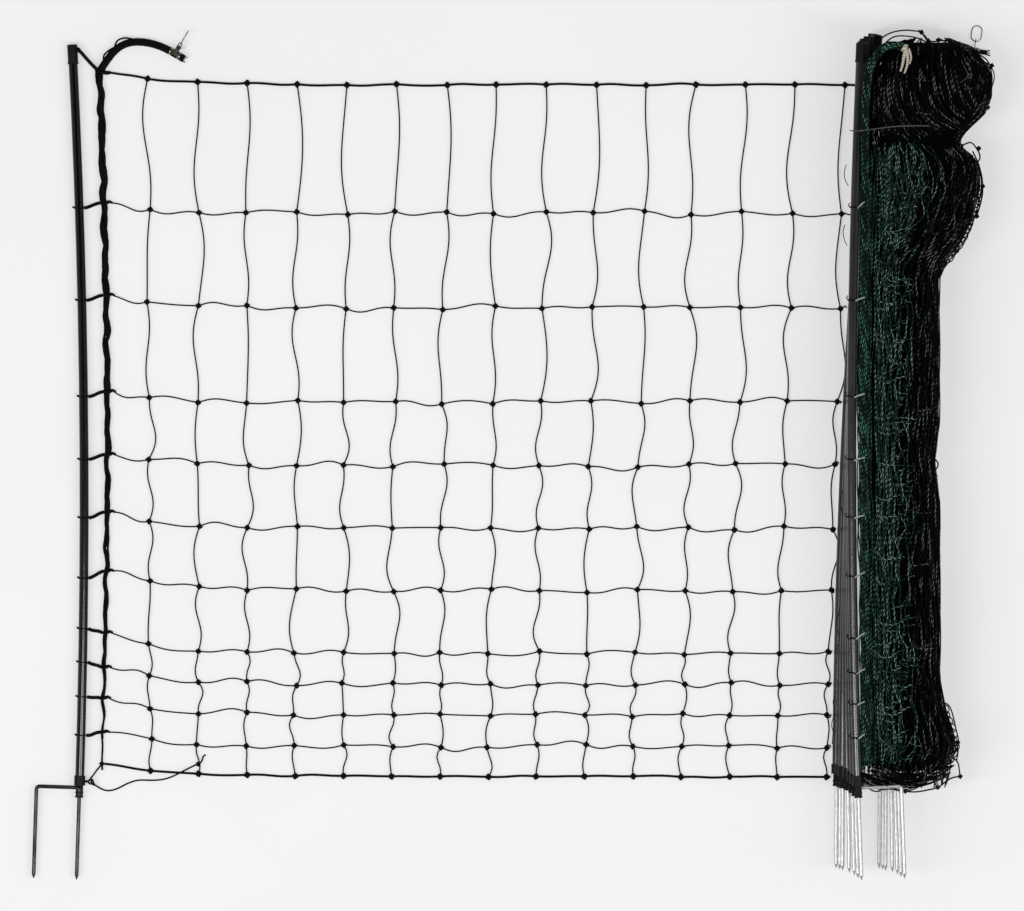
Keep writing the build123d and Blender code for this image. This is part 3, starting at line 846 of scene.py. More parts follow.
# ---- the end post ----
@dataclass
class EndPost:
    """The end post's ties to the net, its top strap and its foot string."""

    layout: NetLayout
    # How far each row's tie falls from the lead to the post.
    tie_drops: tuple[float, ...] = (0, 8, 8, 8, 8, 9, 11, -6, -8, -2, 5)
    sleeve_r: float = 2.7
    wire_r: float = 0.9
    strap: tuple[Point, ...] = (
        (-664.8, 621.5, 10.5), (-660.0, 618.0, 9.5), (-649.0, 605.5, 7.5),
        (-638.5, 594.5, 6.5), (-633.0, 590.0, 8.0),
    )
    eye_cord: tuple[Point, ...] = (
        (-644.9, -499.5, 9.0), (-642.4, -503.8, 8.6), (-639.5, -506.3, 6.8), (-637.0, -507.5, 5.5)
    )
    string: tuple[Point, ...] = ((-643.9, -494.8, 7.2), (-641.0, -491.0, 5.4), (-636.0, -484.0, 3.8))

    def tie(self, mesh: StrandMesh, row: int) -> None:
        """Add one tie: wire round the post, a nub, a sleeve to the lead, a turn round the lead and its knob."""
        at, radius = self.layout.lead(row)
        post = END_POST.middle(at.y - self.tie_drops[row])
        mesh.loop(post, (0.06 * scatter(row, 1), 1, 0), END_POST.tube_r + self.wire_r, self.wire_r)
        left = post + Vector((-END_POST.tube_r, 0.5, 0))
        mesh.strand([left, left + Vector((-1.6, 0.6, 0.4)), left + Vector((-3.4, 1.8, 0))], 1.9, 6, 1.3)
        start = post + Vector((END_POST.tube_r + 0.5, 0, 0))
        end = Vector((at.x - radius - 0.6, at.y, at.z + 0.6))
        bend = Vector((0, 0.7 + 0.5 * scatter(row, 9), 0))
        sleeve = (start, start.lerp(end, 0.3) - bend, start.lerp(end, 0.72) + bend * 0.7, end)
        mesh.curve(sleeve, 2.5, self.sleeve_r, 8)
        mesh.loop(at, (0, 1, 0.1), radius + 1.0, 1.9)
        knob = Vector((at.x + radius, at.y + 0.6, at.z))
        stub = Vector((at.x + radius + 8.5, at.y - 0.3, self.layout.net_z))
        mesh.curve((knob, knob + Vector((3.5, 1.2, -0.5)), stub), 1.5, 3.0, 8, 1.6)

    def build(self) -> None:
        """Make the ties, the top strap and the foot string as one piece."""
        net = self.layout
        mesh = StrandMesh()
        for row in range(1, net.last_row):
            self.tie(mesh, row)
        mesh.curve(self.strap, 2.5, 2.8, 8)
        mesh.knot(Vector((-664.2, 622.0, 11.5)), 4.4, 2.8)
        at, radius = net.lead(0)
        mesh.loop(at, (0.25, 1, 0.1), radius + 1.2, 2.0)
        knob = at.x + radius
        stub = ((knob, at.y, 5.0), (knob + 5, at.y - 1.5, 4.6), (knob + 11, at.y - 1.0, 3.8))
        mesh.curve(stub, 2, 3.7, 8, 2.6)
        mesh.curve(self.eye_cord, 1.5, 1.5)
        mesh.knot(Vector((-641.5, -504.5, 8.0)), 3.4, 2.6)
        low, _ = net.lead(net.last_row)
        mesh.curve((*self.string, (low.x - 1, low.y - 2, 3.6)), 2, 1.3)
        mesh.loop(Vector((-644.4, -497.0, 8.6)), (0.7, 0.3, 0.2), 2.6, 0.8)
        mesh.knot(low, 4.6, 3.3)
        nodes = ("end_post_ties", "line_stubs", "top_strap", "foot_string")
        piece = mesh.piece("post_ties", BLACK_TWINE, "tie_sleeve", nodes)
        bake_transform(piece)


# ---- the roll ----
@dataclass
class RollShape:
    """Outer shape of the folded netting: plan edges and height at places up the roll."""

    # y, left edge, right edge, height
    stations: tuple[tuple[float, float, float, float], ...] = (
        (-489, 548, 634, 70), (-478, 545, 664, 96), (-455, 545, 680, 108), (-425, 546, 677, 112),
        (-390, 547, 664, 116), (-345, 547, 656, 118), (-200, 548, 656, 118), (-70, 548, 655, 117),
        (-11, 550, 647, 113), (45, 548, 655, 117), (180, 547, 655, 118), (272, 546, 655, 118),
        (300, 546, 668, 116), (330, 546, 690, 112), (361, 546, 705, 109), (407, 546, 717, 108),
        (440, 546, 716, 107), (458, 548, 706, 105), (473, 550, 686, 104), (486, 550, 688, 107),
        (500, 549, 700, 112), (522, 549, 724, 116), (548, 549, 735, 118), (575, 550, 736, 118),
        (600, 553, 727, 116), (621, 562, 707, 108), (634, 578, 684, 84), (643, 606, 660, 44),
    )
    power: float = 2.7  # how square its section is
    step_z: tuple[float, float] = (44.0, 92.0)  # the stacked posts push it aside below this, not above that
    step_x: float = 26.0
    lowest: float = 1.3

    def at(self, y: float) -> tuple[float, float, float]:
        """Left edge, right edge and height at a place up the roll."""
        ys = [s[0] for s in self.stations]
        return tuple(float(np.interp(y, ys, [s[i] for s in self.stations])) for i in (1, 2, 3))

    def around(self, y: float, angle: float, out: float) -> Vector:
        """A point on the surface.

        Args:
            y: Place up the roll.
            angle: 0 is the right side, a quarter turn is the top.
            out: How far it stands out of the surface.

        Returns:
            The point.
        """
        left, right, height = self.at(y)
        middle, half = (left + right) / 2, (right - left) / 2
        c, s = math.cos(angle), math.sin(angle)
        x = middle + (half + out) * math.copysign(abs(c) ** (2 / self.power), c)
        z = height / 2 + (height / 2 + out) * math.copysign(abs(s) ** (2 / self.power), s)
        low, high = self.step_z
        pushed = min(1.0, max(0.0, (high - z) / (high - low)))
        x += self.step_x * pushed * max(0.0, (middle - x) / half)
        return Vector((x, y, max(self.lowest, z)))

    def top(self, x: float, y: float) -> float:
        """Height of the surface above a point of the floor."""
        left, right, height = self.at(y)
        across = min(0.985, abs((x - (left + right) / 2) / ((right - left) / 2)))
        return height / 2 + height / 2 * (1 - across**self.power) ** (1 / self.power)


# Loose loops of netting that stand off the roll: height, then places in plan.
LOOPS = (
    (60, ((557, 622), (566, 637), (582, 647), (602, 651), (619, 650), (629, 647), (640, 632))),
    (70, ((566, 624), (585, 640), (605, 642), (628, 637), (646, 625))),
    (64, ((625, 651), (634, 643), (643, 634), (662, 635), (686, 632), (705, 626), (718, 615))),
    (50, ((708, 618), (726, 609), (734, 597), (737, 579), (735, 557), (731, 533))),
    (66, ((728, 600), (733, 576), (731, 554), (731, 533))),
    (40, ((731, 533), (723, 525), (710, 524))),
    (44, ((668, 490), (683, 502), (694, 500), (698, 508), (708, 513))),
    (60, ((668, 496), (686, 493), (695, 499), (700, 512))),
    (50, ((690, 474), (705, 479), (715, 468), (719, 456), (712, 444))),
    (60, ((710, 455), (720, 434), (723, 410), (721, 391), (714, 366))),
    (38, ((708, 466), (719, 440), (721, 407), (712, 368), (700, 338), (680, 306))),
    (54, ((696, 356), (690, 330), (677, 305), (662, 284))),
    (70, ((645, -2), (654, -12), (652, -21), (643, -27))),
    (46, ((655, -380), (669, -382), (676, -394), (682, -419), (686, -441), (680, -458))),
    (60, ((660, -396), (674, -416), (678, -437), (685, -450), (683, -468))),
    (30, ((655, -462), (674, -465), (685, -471), (689, -493))),
    (10, ((539, -500), (551, -513), (563, -516), (576, -508), (584, -484))),
    (8, ((584, -480), (592, -509), (605, -516), (623, -517),
         (640, -514), (655, -510), (674, -497), (689, -493))),
    (14, ((570, -484), (582, -499), (605, -503), (623, -505), (643, -496), (663, -488), (680, -476))),
    (22, ((560, -478), (590, -495), (628, -497), (660, -484), (676, -468))),
    (34, ((575, -480), (610, -492), (645, -486), (668, -470))),
)
LOOP_KNOTS = (
    (629, 648, 64), (640, 634, 66), (655, 636, 64), (737, 597, 52), (731, 533, 44), (717, 470, 52),
    (723, 412, 60), (714, 366, 58), (685, -441, 46), (689, -493, 30), (655, -510, 10), (605, -516, 9),
    (582, -499, 16), (663, -488, 16), (674, -470, 24), (628, -498, 22), (700, 512, 58), (708, 513, 44),
    (690, 474, 50),
)


@dataclass
class FoldedNet:
    """The roll: a dark heart of painted shade for its folds, under many strands of green and black twine, with
    loops at its lobes.
    """

    shape: RollShape = field(default_factory=RollShape)
    random: np.random.RandomState = field(default_factory=lambda: np.random.RandomState(11))
    green: StrandMesh = field(default_factory=StrandMesh)
    black: StrandMesh = field(default_factory=StrandMesh)
    bare: StrandMesh = field(default_factory=StrandMesh)
    strand_r: float = 1.0
    loop_r: float = 1.15
    heart_sides: int = 56
    heart_depth: float = 5.0
    around_count: int = 150
    side_count: int = 44
    side_green_count: int = 20
    wrap_count: int = 46
    rung_count: int = 130
    cross_count: int = 16
    knot_count: int = 90
    fan_count: int = 118
    foot_count: int = 56
    hanging_count: int = 44
    hoop_count: int = 26
    neck_hoops: int = 17  # of the hoops, the ones at the side lobe
    green_edge: float = 604.0  # knots are green on the left of this and below the neck
    neck_y: float = 460.0
    # The head's fan: where its strands start and end, and how far their middles bow.
    fan: tuple[tuple[Plan, ...], ...] = (
        ((560, 575), (574, 600), (600, 622), (640, 630), (682, 622), (706, 608)),
        ((572, 480), (604, 481), (648, 486), (690, 500), (716, 522), (731, 552)),
        ((-6, -4), (-14, -12), (-23, -24), (-22, -26), (-4, -8), (20, 12)),
    )
    ring_at: Plan = (701.5, 580.0)
    ring_ends: tuple[Plan, ...] = ((689, 604), (723, 558), (685, 568))

    def pick(self, low: float = 0.0, high: float = 1.0) -> float:
        """The next random number from low to high."""
        return low + (high - low) * self.random.rand()

    def heart(self) -> None:
        """Make the painted shade of the depth that shows between the strands, lumpy where folds lie."""
        sides, ys = self.heart_sides, [float(y) for y in np.arange(-484, 640, 9.0)]
        verts = []
        for i, y in enumerate(ys):
            for k in range(sides):
                a = 2 * math.pi * k / sides
                lump = 1.1 * math.sin(y / 23 + 3 * a) + 1.3 * scatter(i, k)
                verts.append(self.shape.around(y, a, lump - self.heart_depth) * MM)
        piece = add_object("roll_heart", verts, tube_faces(0, len(ys), sides), PAINTED_FOLD_SHADE)
        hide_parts("roll_column", "roll_head", "roll_side", "roll_foot")
        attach(piece, Bodies.ROLL.value)

    def edge_folds(self) -> None:
        """Make the painted shade of the folds that fill the step between the stacked posts and the roll."""
        mesh = StrandMesh()
        for k, (x, z) in enumerate(((546.5, 101.0), (553.5, 99.5))):
            line = []
            for y in range(-476, 482, 14):
                line.append(Vector((x + 0.8 * math.sin(y / 33 + k), y, z + 1.2 * math.sin(y / 47 + 2 * k))))
            mesh.strand(line, 4.6, 10)
        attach(mesh.piece("folds_beside_posts", PAINTED_FOLD_SHADE, "folded_net"), Bodies.ROLL.value)

    def up(self, mesh: StrandMesh, angle: float, low: float, high: float, out: float, seed: float) -> None:
        """Add a strand that runs up the roll, wandering over it.

        Args:
            mesh: Takes the strand.
            angle: Where it starts round the roll.
            low: Its lower end.
            high: Its upper end.
            out: How far it stands off the surface.
            seed: Picks its wander.
        """
        phase = [3.0 * scatter(seed, k) for k in range(4)]
        count = max(6, round((high - low) / 9))
        line = []
        for y in (mix(low, high, i / count) for i in range(count + 1)):
            sway = 0.06 * math.sin(y / 41 + phase[0]) + 0.04 * math.sin(y / 17 + phase[1])
            sway += 0.018 * math.sin(y / 7.5 + phase[2])
            line.append(self.shape.around(y, angle + sway, out + 1.2 * math.sin(y / 29 + phase[3])))
        mesh.strand(line, self.strand_r, 5)

    def over(
        self, mesh: StrandMesh, points: list, rise: float, radius: float | None = None, step: float = 5.0
    ) -> None:
        """Lay a strand over the top of the roll.

        Args:
            mesh: Takes the strand.
            points: Its places in plan.
            rise: How far above the surface it lies.
            radius: Its radius, if it isn't a common strand.
            step: How far apart its points are.
        """
        plan = eased([(x, y, 0.0) for x, y in points], step)
        line = [Vector((p.x, p.y, self.shape.top(p.x, p.y) + rise)) for p in plan]
        mesh.strand(line, radius or self.strand_r, 5)

    def long_strands(self) -> None:
        """Cover the roll in strands that run its length: green on the left, black on the right."""
        for k in range(self.around_count):
            angle = 2 * math.pi * (k + self.pick(0, 0.6)) / self.around_count
            across, height = math.cos(angle), math.sin(angle)
            if height < -0.75 and k % 2:
                continue
            low, high = self.pick(-486, -472), self.pick(458, 484)
            out = self.pick(0.6, 1.4) - (2.6 if k % 3 == 1 else 0.0)
            is_green = across < 0.12 and (across < -0.15 or k % 3)
            self.up(self.green if is_green else self.black, angle, low, high, out, k)
            if height < 0.62:
                self.up(self.black, angle, self.pick(452, 466), self.pick(628, 640), out, k + 300)
        for k in range(self.side_count):
            angle, low, high = self.pick(0.25, 2.0), self.pick(275, 305), self.pick(425, 465)
            self.up(self.black, angle, low, high, self.pick(0.8, 1.8), k + 700)
        for k in range(self.side_green_count):
            angle, low, high = self.pick(1.5, 2.4), self.pick(300, 340), self.pick(440, 485)
            self.up(self.green, angle, low, high, self.pick(0.8, 1.8), k + 800)

    def wraps(self) -> None:
        """Add what crosses the long strands: sagging rows of the folded net, short rungs and knots."""
        for k in range(self.wrap_count):
            y = -470 + 925 * (k + self.pick(0, 0.7)) / self.wrap_count
            left, right = self.pick(549, 563), self.pick(588, 624)
            sag, tilt = self.pick(3, 14), self.pick(-22, 18)
            points = [
                (mix(left, right, t), y + tilt * t - sag * math.sin(math.pi * min(1, t * 1.2)))
                for t in (0, 0.25, 0.5, 0.75, 1)
            ]
            self.over(self.green, points, self.pick(1.6, 2.6), 1.05)
        for _ in range(self.rung_count):
            x, y = 556 + 52 * self.pick() ** 0.8, self.pick(-468, 447)
            width, tilt = self.pick(5, 18), self.pick(-6, 6)
            points = [(x, y), (x + width / 2, y + tilt / 2 - 1.5), (x + width, y + tilt)]
            self.over(self.green, points, 0.9, 0.85, 4)
        for k in range(self.cross_count):
            y = -460 + 900 * (k + self.pick()) / self.cross_count
            x = self.pick(602, 614)
            points = [(x, y), (x + 18, y - self.pick(3, 7)), (x + self.pick(36, 44), y - self.pick(-4, 4))]
            self.over(self.black, points, 1.2)
        for _ in range(self.knot_count):
            x, y = self.pick(556, 648), self.pick(-478, 602)
            mesh = self.green if x < self.green_edge and y < self.neck_y else self.black
            mesh.knot(Vector((x, y, self.shape.top(x, y) + 0.8)), 3.2, 2.4, self.pick())

    def head_strands(self) -> None:
        """Add the head's fan: strands sweep from its top left down and round to its right side."""
        for k in range(self.fan_count):
            place = min(4.999, 5 * (k + self.pick(0, 0.8)) / self.fan_count)
            i, share = int(place), place - int(place)
            start, end, bow = (
                [mix(row[i][j], row[i + 1][j], share) + self.pick(-1.25, 1.25) for j in (0, 1)]
                for row in self.fan
            )
            points = []
            for t in (self.pick(0, 0.25), 0.3, 0.5, 0.7, self.pick(1.0, 0.8)):
                points.append([mix(start[j], end[j], t) + bow[j] * 4 * t * (1 - t) for j in (0, 1)])
            self.over(self.black, points, self.pick(0.6, 2.6))
        ring = Vector((*self.ring_at, self.shape.top(*self.ring_at) + 2.5))
        self.bare.loop(ring, (0, 0, 1), 2.6, 0.8)
        for x, y in self.ring_ends:
            end = Vector((x, y, self.shape.top(x, y) + 2))
            way = (end - ring).normalized()
            self.bare.curve((ring + way * 3, ring + way * 14, end), 3, 0.75, 5)
        for _ in range(self.cross_count):
            x, y = self.pick(600, 705), self.pick(500, 605)
            points = [(x, y), (x + 12, y - self.pick(-2, 4)), (x + self.pick(22, 32), y - self.pick(0, 8))]
            self.over(self.black, points, 1.6, 0.9)

    def loops(self) -> None:
        """Add the loose loops that stand off the roll's edges, and their knots."""
        for index, (height, points) in enumerate(LOOPS):
            line = eased([(x, y, height + 4 * math.sin(2.1 * i + index)) for i, (x, y) in enumerate(points)], 4)
            self.black.strand([Vector((p.x, p.y, max(1.2, p.z))) for p in line], self.loop_r)
        for x, y, z in LOOP_KNOTS:
            self.black.knot(Vector((x, y, z)), 4.4, 3.2, 0.3 * scatter(x, y))

    def foot_tangle(self) -> None:
        """Add the tangle below the foot: strands that sag across it and short ones that hang."""
        for k in range(self.foot_count):
            left, right, high, dip, drop = (abs(scatter(k, seed)) for seed in (11, 12, 13, 14, 15))
            left, right, high, dip = 534 + 40 * left, 600 + 78 * right, -477 - 20 * high, 6 + 13 * dip
            z = 118 - 26 * drop * (k % 2)
            tangle = []
            for t in (0, 0.2, 0.4, 0.6, 0.8, 1):
                y = high - dip * math.sin(math.pi * t) + 5 * scatter(k, 16) * t
                tangle.append((mix(left, right, t), y, z + (20 - 0.75 * z) * t * t))
            self.black.curve(tangle, 6, self.loop_r, 5)
        for k in range(self.hanging_count):
            x, z = 538 + 3.1 * k + 3 * scatter(k, 21), 116 - 34 * abs(scatter(k, 22)) - 0.35 * k
            end = (x + 7 * scatter(k, 24), -502 - 8 * abs(scatter(k, 25)), max(6, z - 24))
            self.black.curve(((x, -468, z), (x + 3 * scatter(k, 23), -486, z - 3), end), 5, 1.1, 5)

    def hoops(self) -> None:
        """Add small hoops of mesh along the side lobe's edge and the foot's."""
        for k in range(self.hoop_count):
            if k < self.neck_hoops:
                y = 300 + 168 * (k + 0.5) / self.hoop_count
            else:
                y = -470 + 84 * (k + 0.5 - self.neck_hoops) / (self.hoop_count - self.neck_hoops)
            right = self.shape.at(y)[1]
            z, reach = 30 + 60 * abs(scatter(k, 4)), right + 3 + 4 * abs(scatter(k, 6))
            low, high = (right - 8, y - 12, z), (right - 8, y + 13, z - 3)
            self.black.curve((low, (reach - 1, y - 5, z + 4), (reach, y + 4, z + 2), high), 4, self.strand_r, 5)

    def build(self) -> None:
        """Make the roll."""
        self.heart()
        self.edge_folds()
        self.long_strands()
        self.wraps()
        self.head_strands()
        self.loops()
        self.foot_tangle()
        self.hoops()
        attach(self.bare.piece("head_ring_wires", WIRE, "twine"), Bodies.ROLL.value)
        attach(self.green.piece("roll_green_twine", GREEN_TWINE, "folded_net"), Bodies.ROLL.value)
        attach(self.black.piece("roll_black_twine", ROLL_BLACK_TWINE, "folded_net"), Bodies.ROLL.value)


@dataclass
class FarLead:
    """Edge rope of the far end, up the roll beside the front post and over into its head, with its clip end."""

    route: tuple[Point, ...] = (
        (543.5, -470.0, 112.0), (543.0, -330.0, 112.0), (541.0, -190.0, 112.0), (539.5, -50.0, 112.0),
        (539.0, 90.0, 112.0), (540.0, 230.0, 112.5), (541.5, 350.0, 114.0), (542.0, 440.0, 118.0),
        (541.5, 510.0, 123.5), (543.0, 562.0, 126.0), (550.0, 598.0, 126.0), (564.0, 621.0, 124.5),
        (583.0, 630.0, 123.0), (601.0, 624.0, 122.5),
    )
    upright_points: int = 10  # of the route, before it turns over into the head
    bow_count: int = 9
    side_count: int = 24
    post_gap: float = 8.6  # side strands keep this far from the front post's middle
    clip_at: Point = (698.0, 622.0, 5.3)
    clip_turn: float = -8.0
    end_length: float = 33.0
    # Tails of the undyed cord: points, radius at the knot and at the tip.
    cream_tails: tuple[tuple[tuple[Point, ...], float, float], ...] = (
        (((604, 621, 129), (601, 608, 127), (599, 597, 124), (596, 587, 121.5)), 3.0, 1.6),
        (((605, 621, 129), (607, 608, 127), (606, 596, 124), (602, 584, 121.5)), 2.8, 1.4),
        (((608, 622, 128), (612, 610, 125), (610, 598, 123)), 2.2, 1.2),
    )

    def middle_x(self, y: float) -> float:
        """Where the rope's middle lies at a place up the roll."""
        xs, ys, _ = zip(*self.route[: self.upright_points])
        return float(np.interp(y, ys, xs))

    def rope(self) -> None:
        """Make the rope, the bows that stand off it and the strands beside it."""
        line = cord_line("far_lead_middle", self.route)
        mesh = StrandMesh()
        bundle(mesh, eased([*line[::2], line[-1]], 6), 7, 3.6, 1.6, 84.0, flat=1.3, sides=5)
        for k in range(self.bow_count):
            y = -430 + 96 * k + 20 * scatter(k, 1)
            x, bow = self.middle_x(y), 3.5 + 2.5 * scatter(k, 5)
            points = ((x, y - 26, 114), (x + bow, y - 8, 116), (x + bow, y + 10, 116), (x - 1, y + 28, 114))
            mesh.curve(points, 5, 1.0, 5)
        for k in range(self.side_count):
            offset = -7.5 + 0.95 * k
            low, high = -474 + 9 * scatter(k, 2), 470 + 60 * scatter(k, 3)
            count = round((high - low) / 14)
            path = []
            for y in (mix(low, high, i / count) for i in range(count + 1)):
                stray = 2.2 * math.sin(y / 37 + 2.1 * k) + 1.1 * math.sin(y / 15 + k)
                x = max(FRONT_POST.middle(y).x + self.post_gap, self.middle_x(y) + offset + stray)
                path.append(Vector((x, y, 112 + 2.2 * math.sin(y / 52 + 1.7 * k) - 0.9 * max(0, k - 10))))
            mesh.strand(path, 1.15, 5)
        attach(mesh.piece("far_edge_rope", GREEN_ROPE, "twine", ("far_lead",)), Bodies.ROLL.value)

    def lead_end(self) -> None:
        """Make the short end under the head, through its clip, frayed beyond it."""
        turn = math.radians(self.clip_turn)
        way = Vector((math.cos(turn), math.sin(turn), 0))
        line = [Vector(self.clip_at) + way * (self.end_length * i / 8) for i in range(9)]
        mesh = StrandMesh()
        bundle(mesh, line, 9, 2.55, 1.3, 60.0)
        tip, side = line[-1], way.cross(Vector((0, 0, 1)))
        for k in range(8):
            out = side * (3.4 * math.cos(k * 0.8)) + Vector((0, 0, 2.6 * math.sin(k * 0.8)))
            end = tip + way * (3 + 3 * abs(scatter(k, 7))) + out * 1.3
            mesh.strand([tip - way * 3 + out * 0.8, tip + out, end], 0.9, 5, 0.4)
        piece = mesh.piece("far_lead_frayed_end", BLACK_TWINE, "twine", ("far_lead_end",))
        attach(piece, Bodies.ROLL.value)

    def cream_tie(self) -> None:
        """Make the undyed cord knotted round the rope, its tails hanging over the head."""
        mesh, top = StrandMesh(), Vector((604, 622, 125))
        mesh.loop(top, (0.9, -0.3, 0.1), 4.6, 2.3, 8)
        mesh.loop(top + Vector((-3, 1, 0)), (0.8, -0.5, 0), 4.4, 2.1, 8)
        for points, radius, tip in self.cream_tails:
            mesh.curve(points, 3, radius, 8, tip)
        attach(mesh.piece("cream_knot", COTTON_CORD, "cream_cord", ("cream_tie",)), Bodies.ROLL.value)

    def build(self) -> None:
        """Make the rope, the clip's lead end and the tie in its head."""
        self.rope()
        self.lead_end()
        self.cream_tie()


@dataclass
class StackTies:
    """Ties on the stacked posts: bands on the front post, faded sleeves to the rope, loose wire at the left."""

    layout: NetLayout
    # Ends of loose wire: height, then places in plan.
    wires: tuple[tuple[float, tuple[Plan, ...]], ...] = (
        (60, ((514, 445), (511, 434), (512, 422), (517, 413))),
        (60, ((512, 353), (509, 342), (511, 330), (515, 321))),
        (40, ((509, -54), (506, -64), (506, -78), (509, -91), (514, -100))),
        (30, ((507, -223), (503, -241), (500, -261), (503, -284), (498, -302), (501, -327))),
        (24, ((502, -339), (497, -352), (498, -364), (494, -379), (497, -394), (492, -413), (496, -431))),
        (12, ((504, -360), (499, -378), (501, -398), (495, -420), (493, -444))),
    )
    string: tuple[Point, ...] = (
        (519, 497, 106), (523, 496, 121), (530, 496, 122), (541, 497, 129),
        (556, 499, 116), (590, 503, 117), (630, 504, 117), (648, 503, 111),
    )
    band_r: float = 0.8
    sleeve_r: float = 1.25
    drop: float = 8.0  # a tie sits this much lower on the post than its row on the lead

    def tie(self, bands: StrandMesh, sleeves: StrandMesh, row: int) -> None:
        """Add one tie: a band with its hooked end, a sleeve to the rope and the wire between them."""
        tube_r = FRONT_POST.tube_r
        post = FRONT_POST.middle(self.layout.lead(row)[0].y - self.drop)
        bands.loop(post, (0.25 * scatter(row, 3), 1, 0), tube_r + self.band_r, self.band_r)
        left = post + Vector((-tube_r, 0, 3))
        bands.curve((left, left + Vector((-3, 3, 0)), left + Vector((-1, 7, 0))), 2, 1.1, 6, 0.7)
        start = post + Vector((3.5, -1.5, tube_r - 0.2))
        end = Vector((541.5, post.y + 6 + 3 * scatter(row, 8), 118.2))
        sleeves.curve((start, start.lerp(end, 0.5) + Vector((0, 0.6, 1)), end), 2, self.sleeve_r, 8)
        dip, crown = post + Vector((-4, 2.5, tube_r - 2.2)), post + Vector((0, 0, tube_r + 1.0))
        bands.curve((dip, crown, start), 2, 1.0)

    def build(self) -> None:
        """Make the bands, sleeves, neck string and loose wire."""
        bands, sleeves, wires, string = (StrandMesh() for _ in range(4))
        for row in range(1, self.layout.last_row):
            self.tie(bands, sleeves, row)
        for z, points in self.wires:
            wires.curve([(x, y, z + 6 * math.sin(i)) for i, (x, y) in enumerate(points)], 3, 0.7, 5)
        string.curve(self.string, 4, 0.95)
        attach(string.piece("neck_string", GREY_STRING, "twine"), Bodies.ROLL.value)
        piece = bands.piece("stack_bands", BLACK_TWINE, "tie_sleeve", ("stacked_post_ties",))
        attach(piece, Bodies.ROLL.value)
        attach(sleeves.piece("stack_sleeves", PALE_GREY_SLEEVE, "tie_sleeve"), Bodies.ROLL.value)
        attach(wires.piece("stack_loose_wire", GREEN_ROPE, "twine"), Bodies.ROLL.value)


@dataclass
class HardParts:
    """Posts, caps, blocks, spikes and clips: their shape is the frame's own, and they only get their finish."""

    stacked: int = 7

    def finishes(self) -> dict[str, Finish]:
        """The finish of each carried piece."""
        return {
            "end_post_tube": POST_PLASTIC,
            "end_spike": DRAWN_STEEL,
            "end_post_cap": MOULDED_NYLON,
            "end_foot_block": MOULDED_NYLON,
            "stacked_caps": MOULDED_NYLON,
            "stacked_foot_blocks": MOULDED_NYLON,
            **{f"{end}_clip_{part}": NICKEL for end in ("near", "far") for part in ("plate", "ring", "gate")},
            **{f"stacked_tube_{k + 1}": PAINTED_SHEEN_PVC for k in range(self.stacked)},
            **{f"stacked_spike_{k + 1}": ZINC for k in range(self.stacked)},
        }

    def build(self) -> None:
        """Dress each carried piece."""
        for name, finish in self.finishes().items():
            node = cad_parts[name]
            node.data.materials.clear()
            node.data.materials.append(material_of(finish))
            LOG.info("%s: %s", name, finish.name)


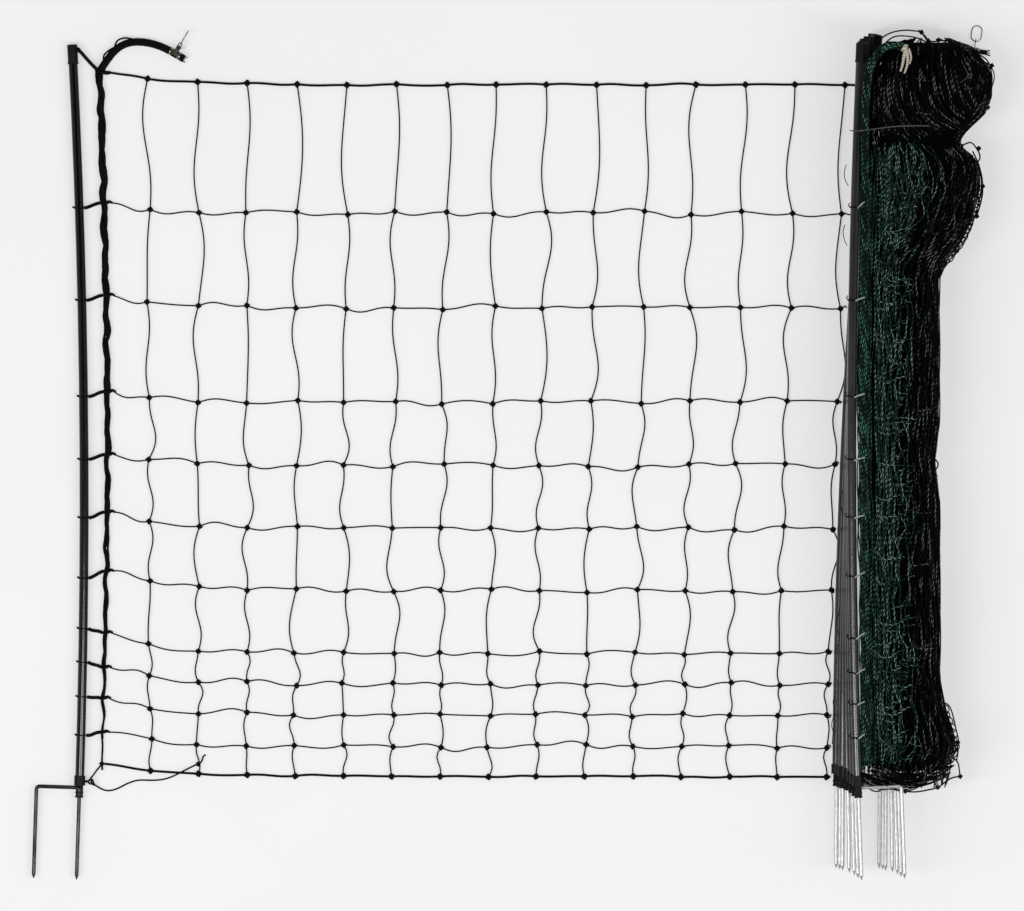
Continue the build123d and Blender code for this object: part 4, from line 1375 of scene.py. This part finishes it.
# ---- the studio ----
@dataclass
class Studio:
    """Pale floor, even soft light and a camera straight above."""

    centre: tuple[float, float] = (1.5, -0.8)
    width: float = 1572.0
    lens: float = 900.0
    sensor: float = 36.0
    glow: float = 0.48
    # The rest is in metres and watts.
    floor_half: float = 20.0
    floor_z: float = -0.0004
    sky: float = 0.55
    # Name, place across and power of each strip.
    strips: tuple[tuple[str, float, float], ...] = (("left_strip", -2.4, 100.0), ("right_strip", 2.4, 80.0))
    strip_size: tuple[float, float] = (0.45, 4.0)
    strip_place: tuple[float, float] = (-0.8, 4.2)
    aim: Point = (0, -0.2, 0)

    def floor(self) -> None:
        """Make the glowing table that everything lies on."""
        half = self.floor_half
        corners = [(x * half, y * half, self.floor_z) for x, y in ((-1, -1), (1, -1), (1, 1), (-1, 1))]
        floor = add_object("floor", corners, [(0, 1, 2, 3)], OPAL)
        shader = material_of(OPAL).node_tree.nodes["Principled BSDF"]
        fill(shader, Emission_Color=linear("#ffffff"), Emission_Strength=self.glow)

    def light(self) -> None:
        """Make an even sky and two long strips that draw highlights down the tubes."""
        world = bpy.data.worlds.new("studio")
        world.use_nodes = True
        tree = world.node_tree
        way = add_node(tree, "SeparateXYZ", Vector=add_node(tree, "TexCoord").outputs["Generated"])
        # Soft walls and a dark ceiling panel, so that polished tops don't go grey.
        walls = ramp(tree, way.outputs["Z"], [(0.0, "#ffffff"), (0.8, "#f0f0f0"), (0.95, "#4a4a4a")])
        fill(tree.nodes["Background"], Color=walls, Strength=self.sky)
        bpy.context.scene.world = world
        for name, x, power in self.strips:
            data = bpy.data.lights.new(name, "AREA")
            data.shape = "RECTANGLE"
            data.size, data.size_y = self.strip_size
            data.energy = power
            lamp = bpy.data.objects.new(name, data)
            lamp.location = (x, *self.strip_place)
            lamp.rotation_euler = (Vector(self.aim) - lamp.location).to_track_quat("-Z", "Y").to_euler()
            bpy.context.collection.objects.link(lamp)

    def camera(self) -> None:
        """Look straight down through a long lens, so that tall parts hardly lean outwards."""
        data = bpy.data.cameras.new("camera")
        data.lens, data.sensor_width, data.clip_end = self.lens, self.sensor, 100
        camera = bpy.data.objects.new("camera", data)
        distance = self.width * MM * self.lens / self.sensor
        camera.location = (self.centre[0] * MM, self.centre[1] * MM, distance)
        bpy.context.collection.objects.link(camera)
        bpy.context.scene.camera = camera
        bpy.context.scene.view_settings.view_transform = "Standard"  # keeps black twine black

    def build(self) -> None:
        """Set up the studio."""
        self.camera()
        self.floor()
        self.light()


def main() -> None:
    """Build the studio and each sub-assembly."""
    logging.basicConfig(level=logging.INFO, format="%(name)s: %(message)s")
    layout = NetLayout()
    parts = (
        Studio(), EndLead(layout), TieCord(), OpenNet(layout), EndPost(layout),
        FoldedNet(), FarLead(), StackTies(layout), HardParts(),
    )
    for part in parts:
        LOG.info("building %s", type(part).__name__)
        part.build()


if __name__ == "__main__":
    main()
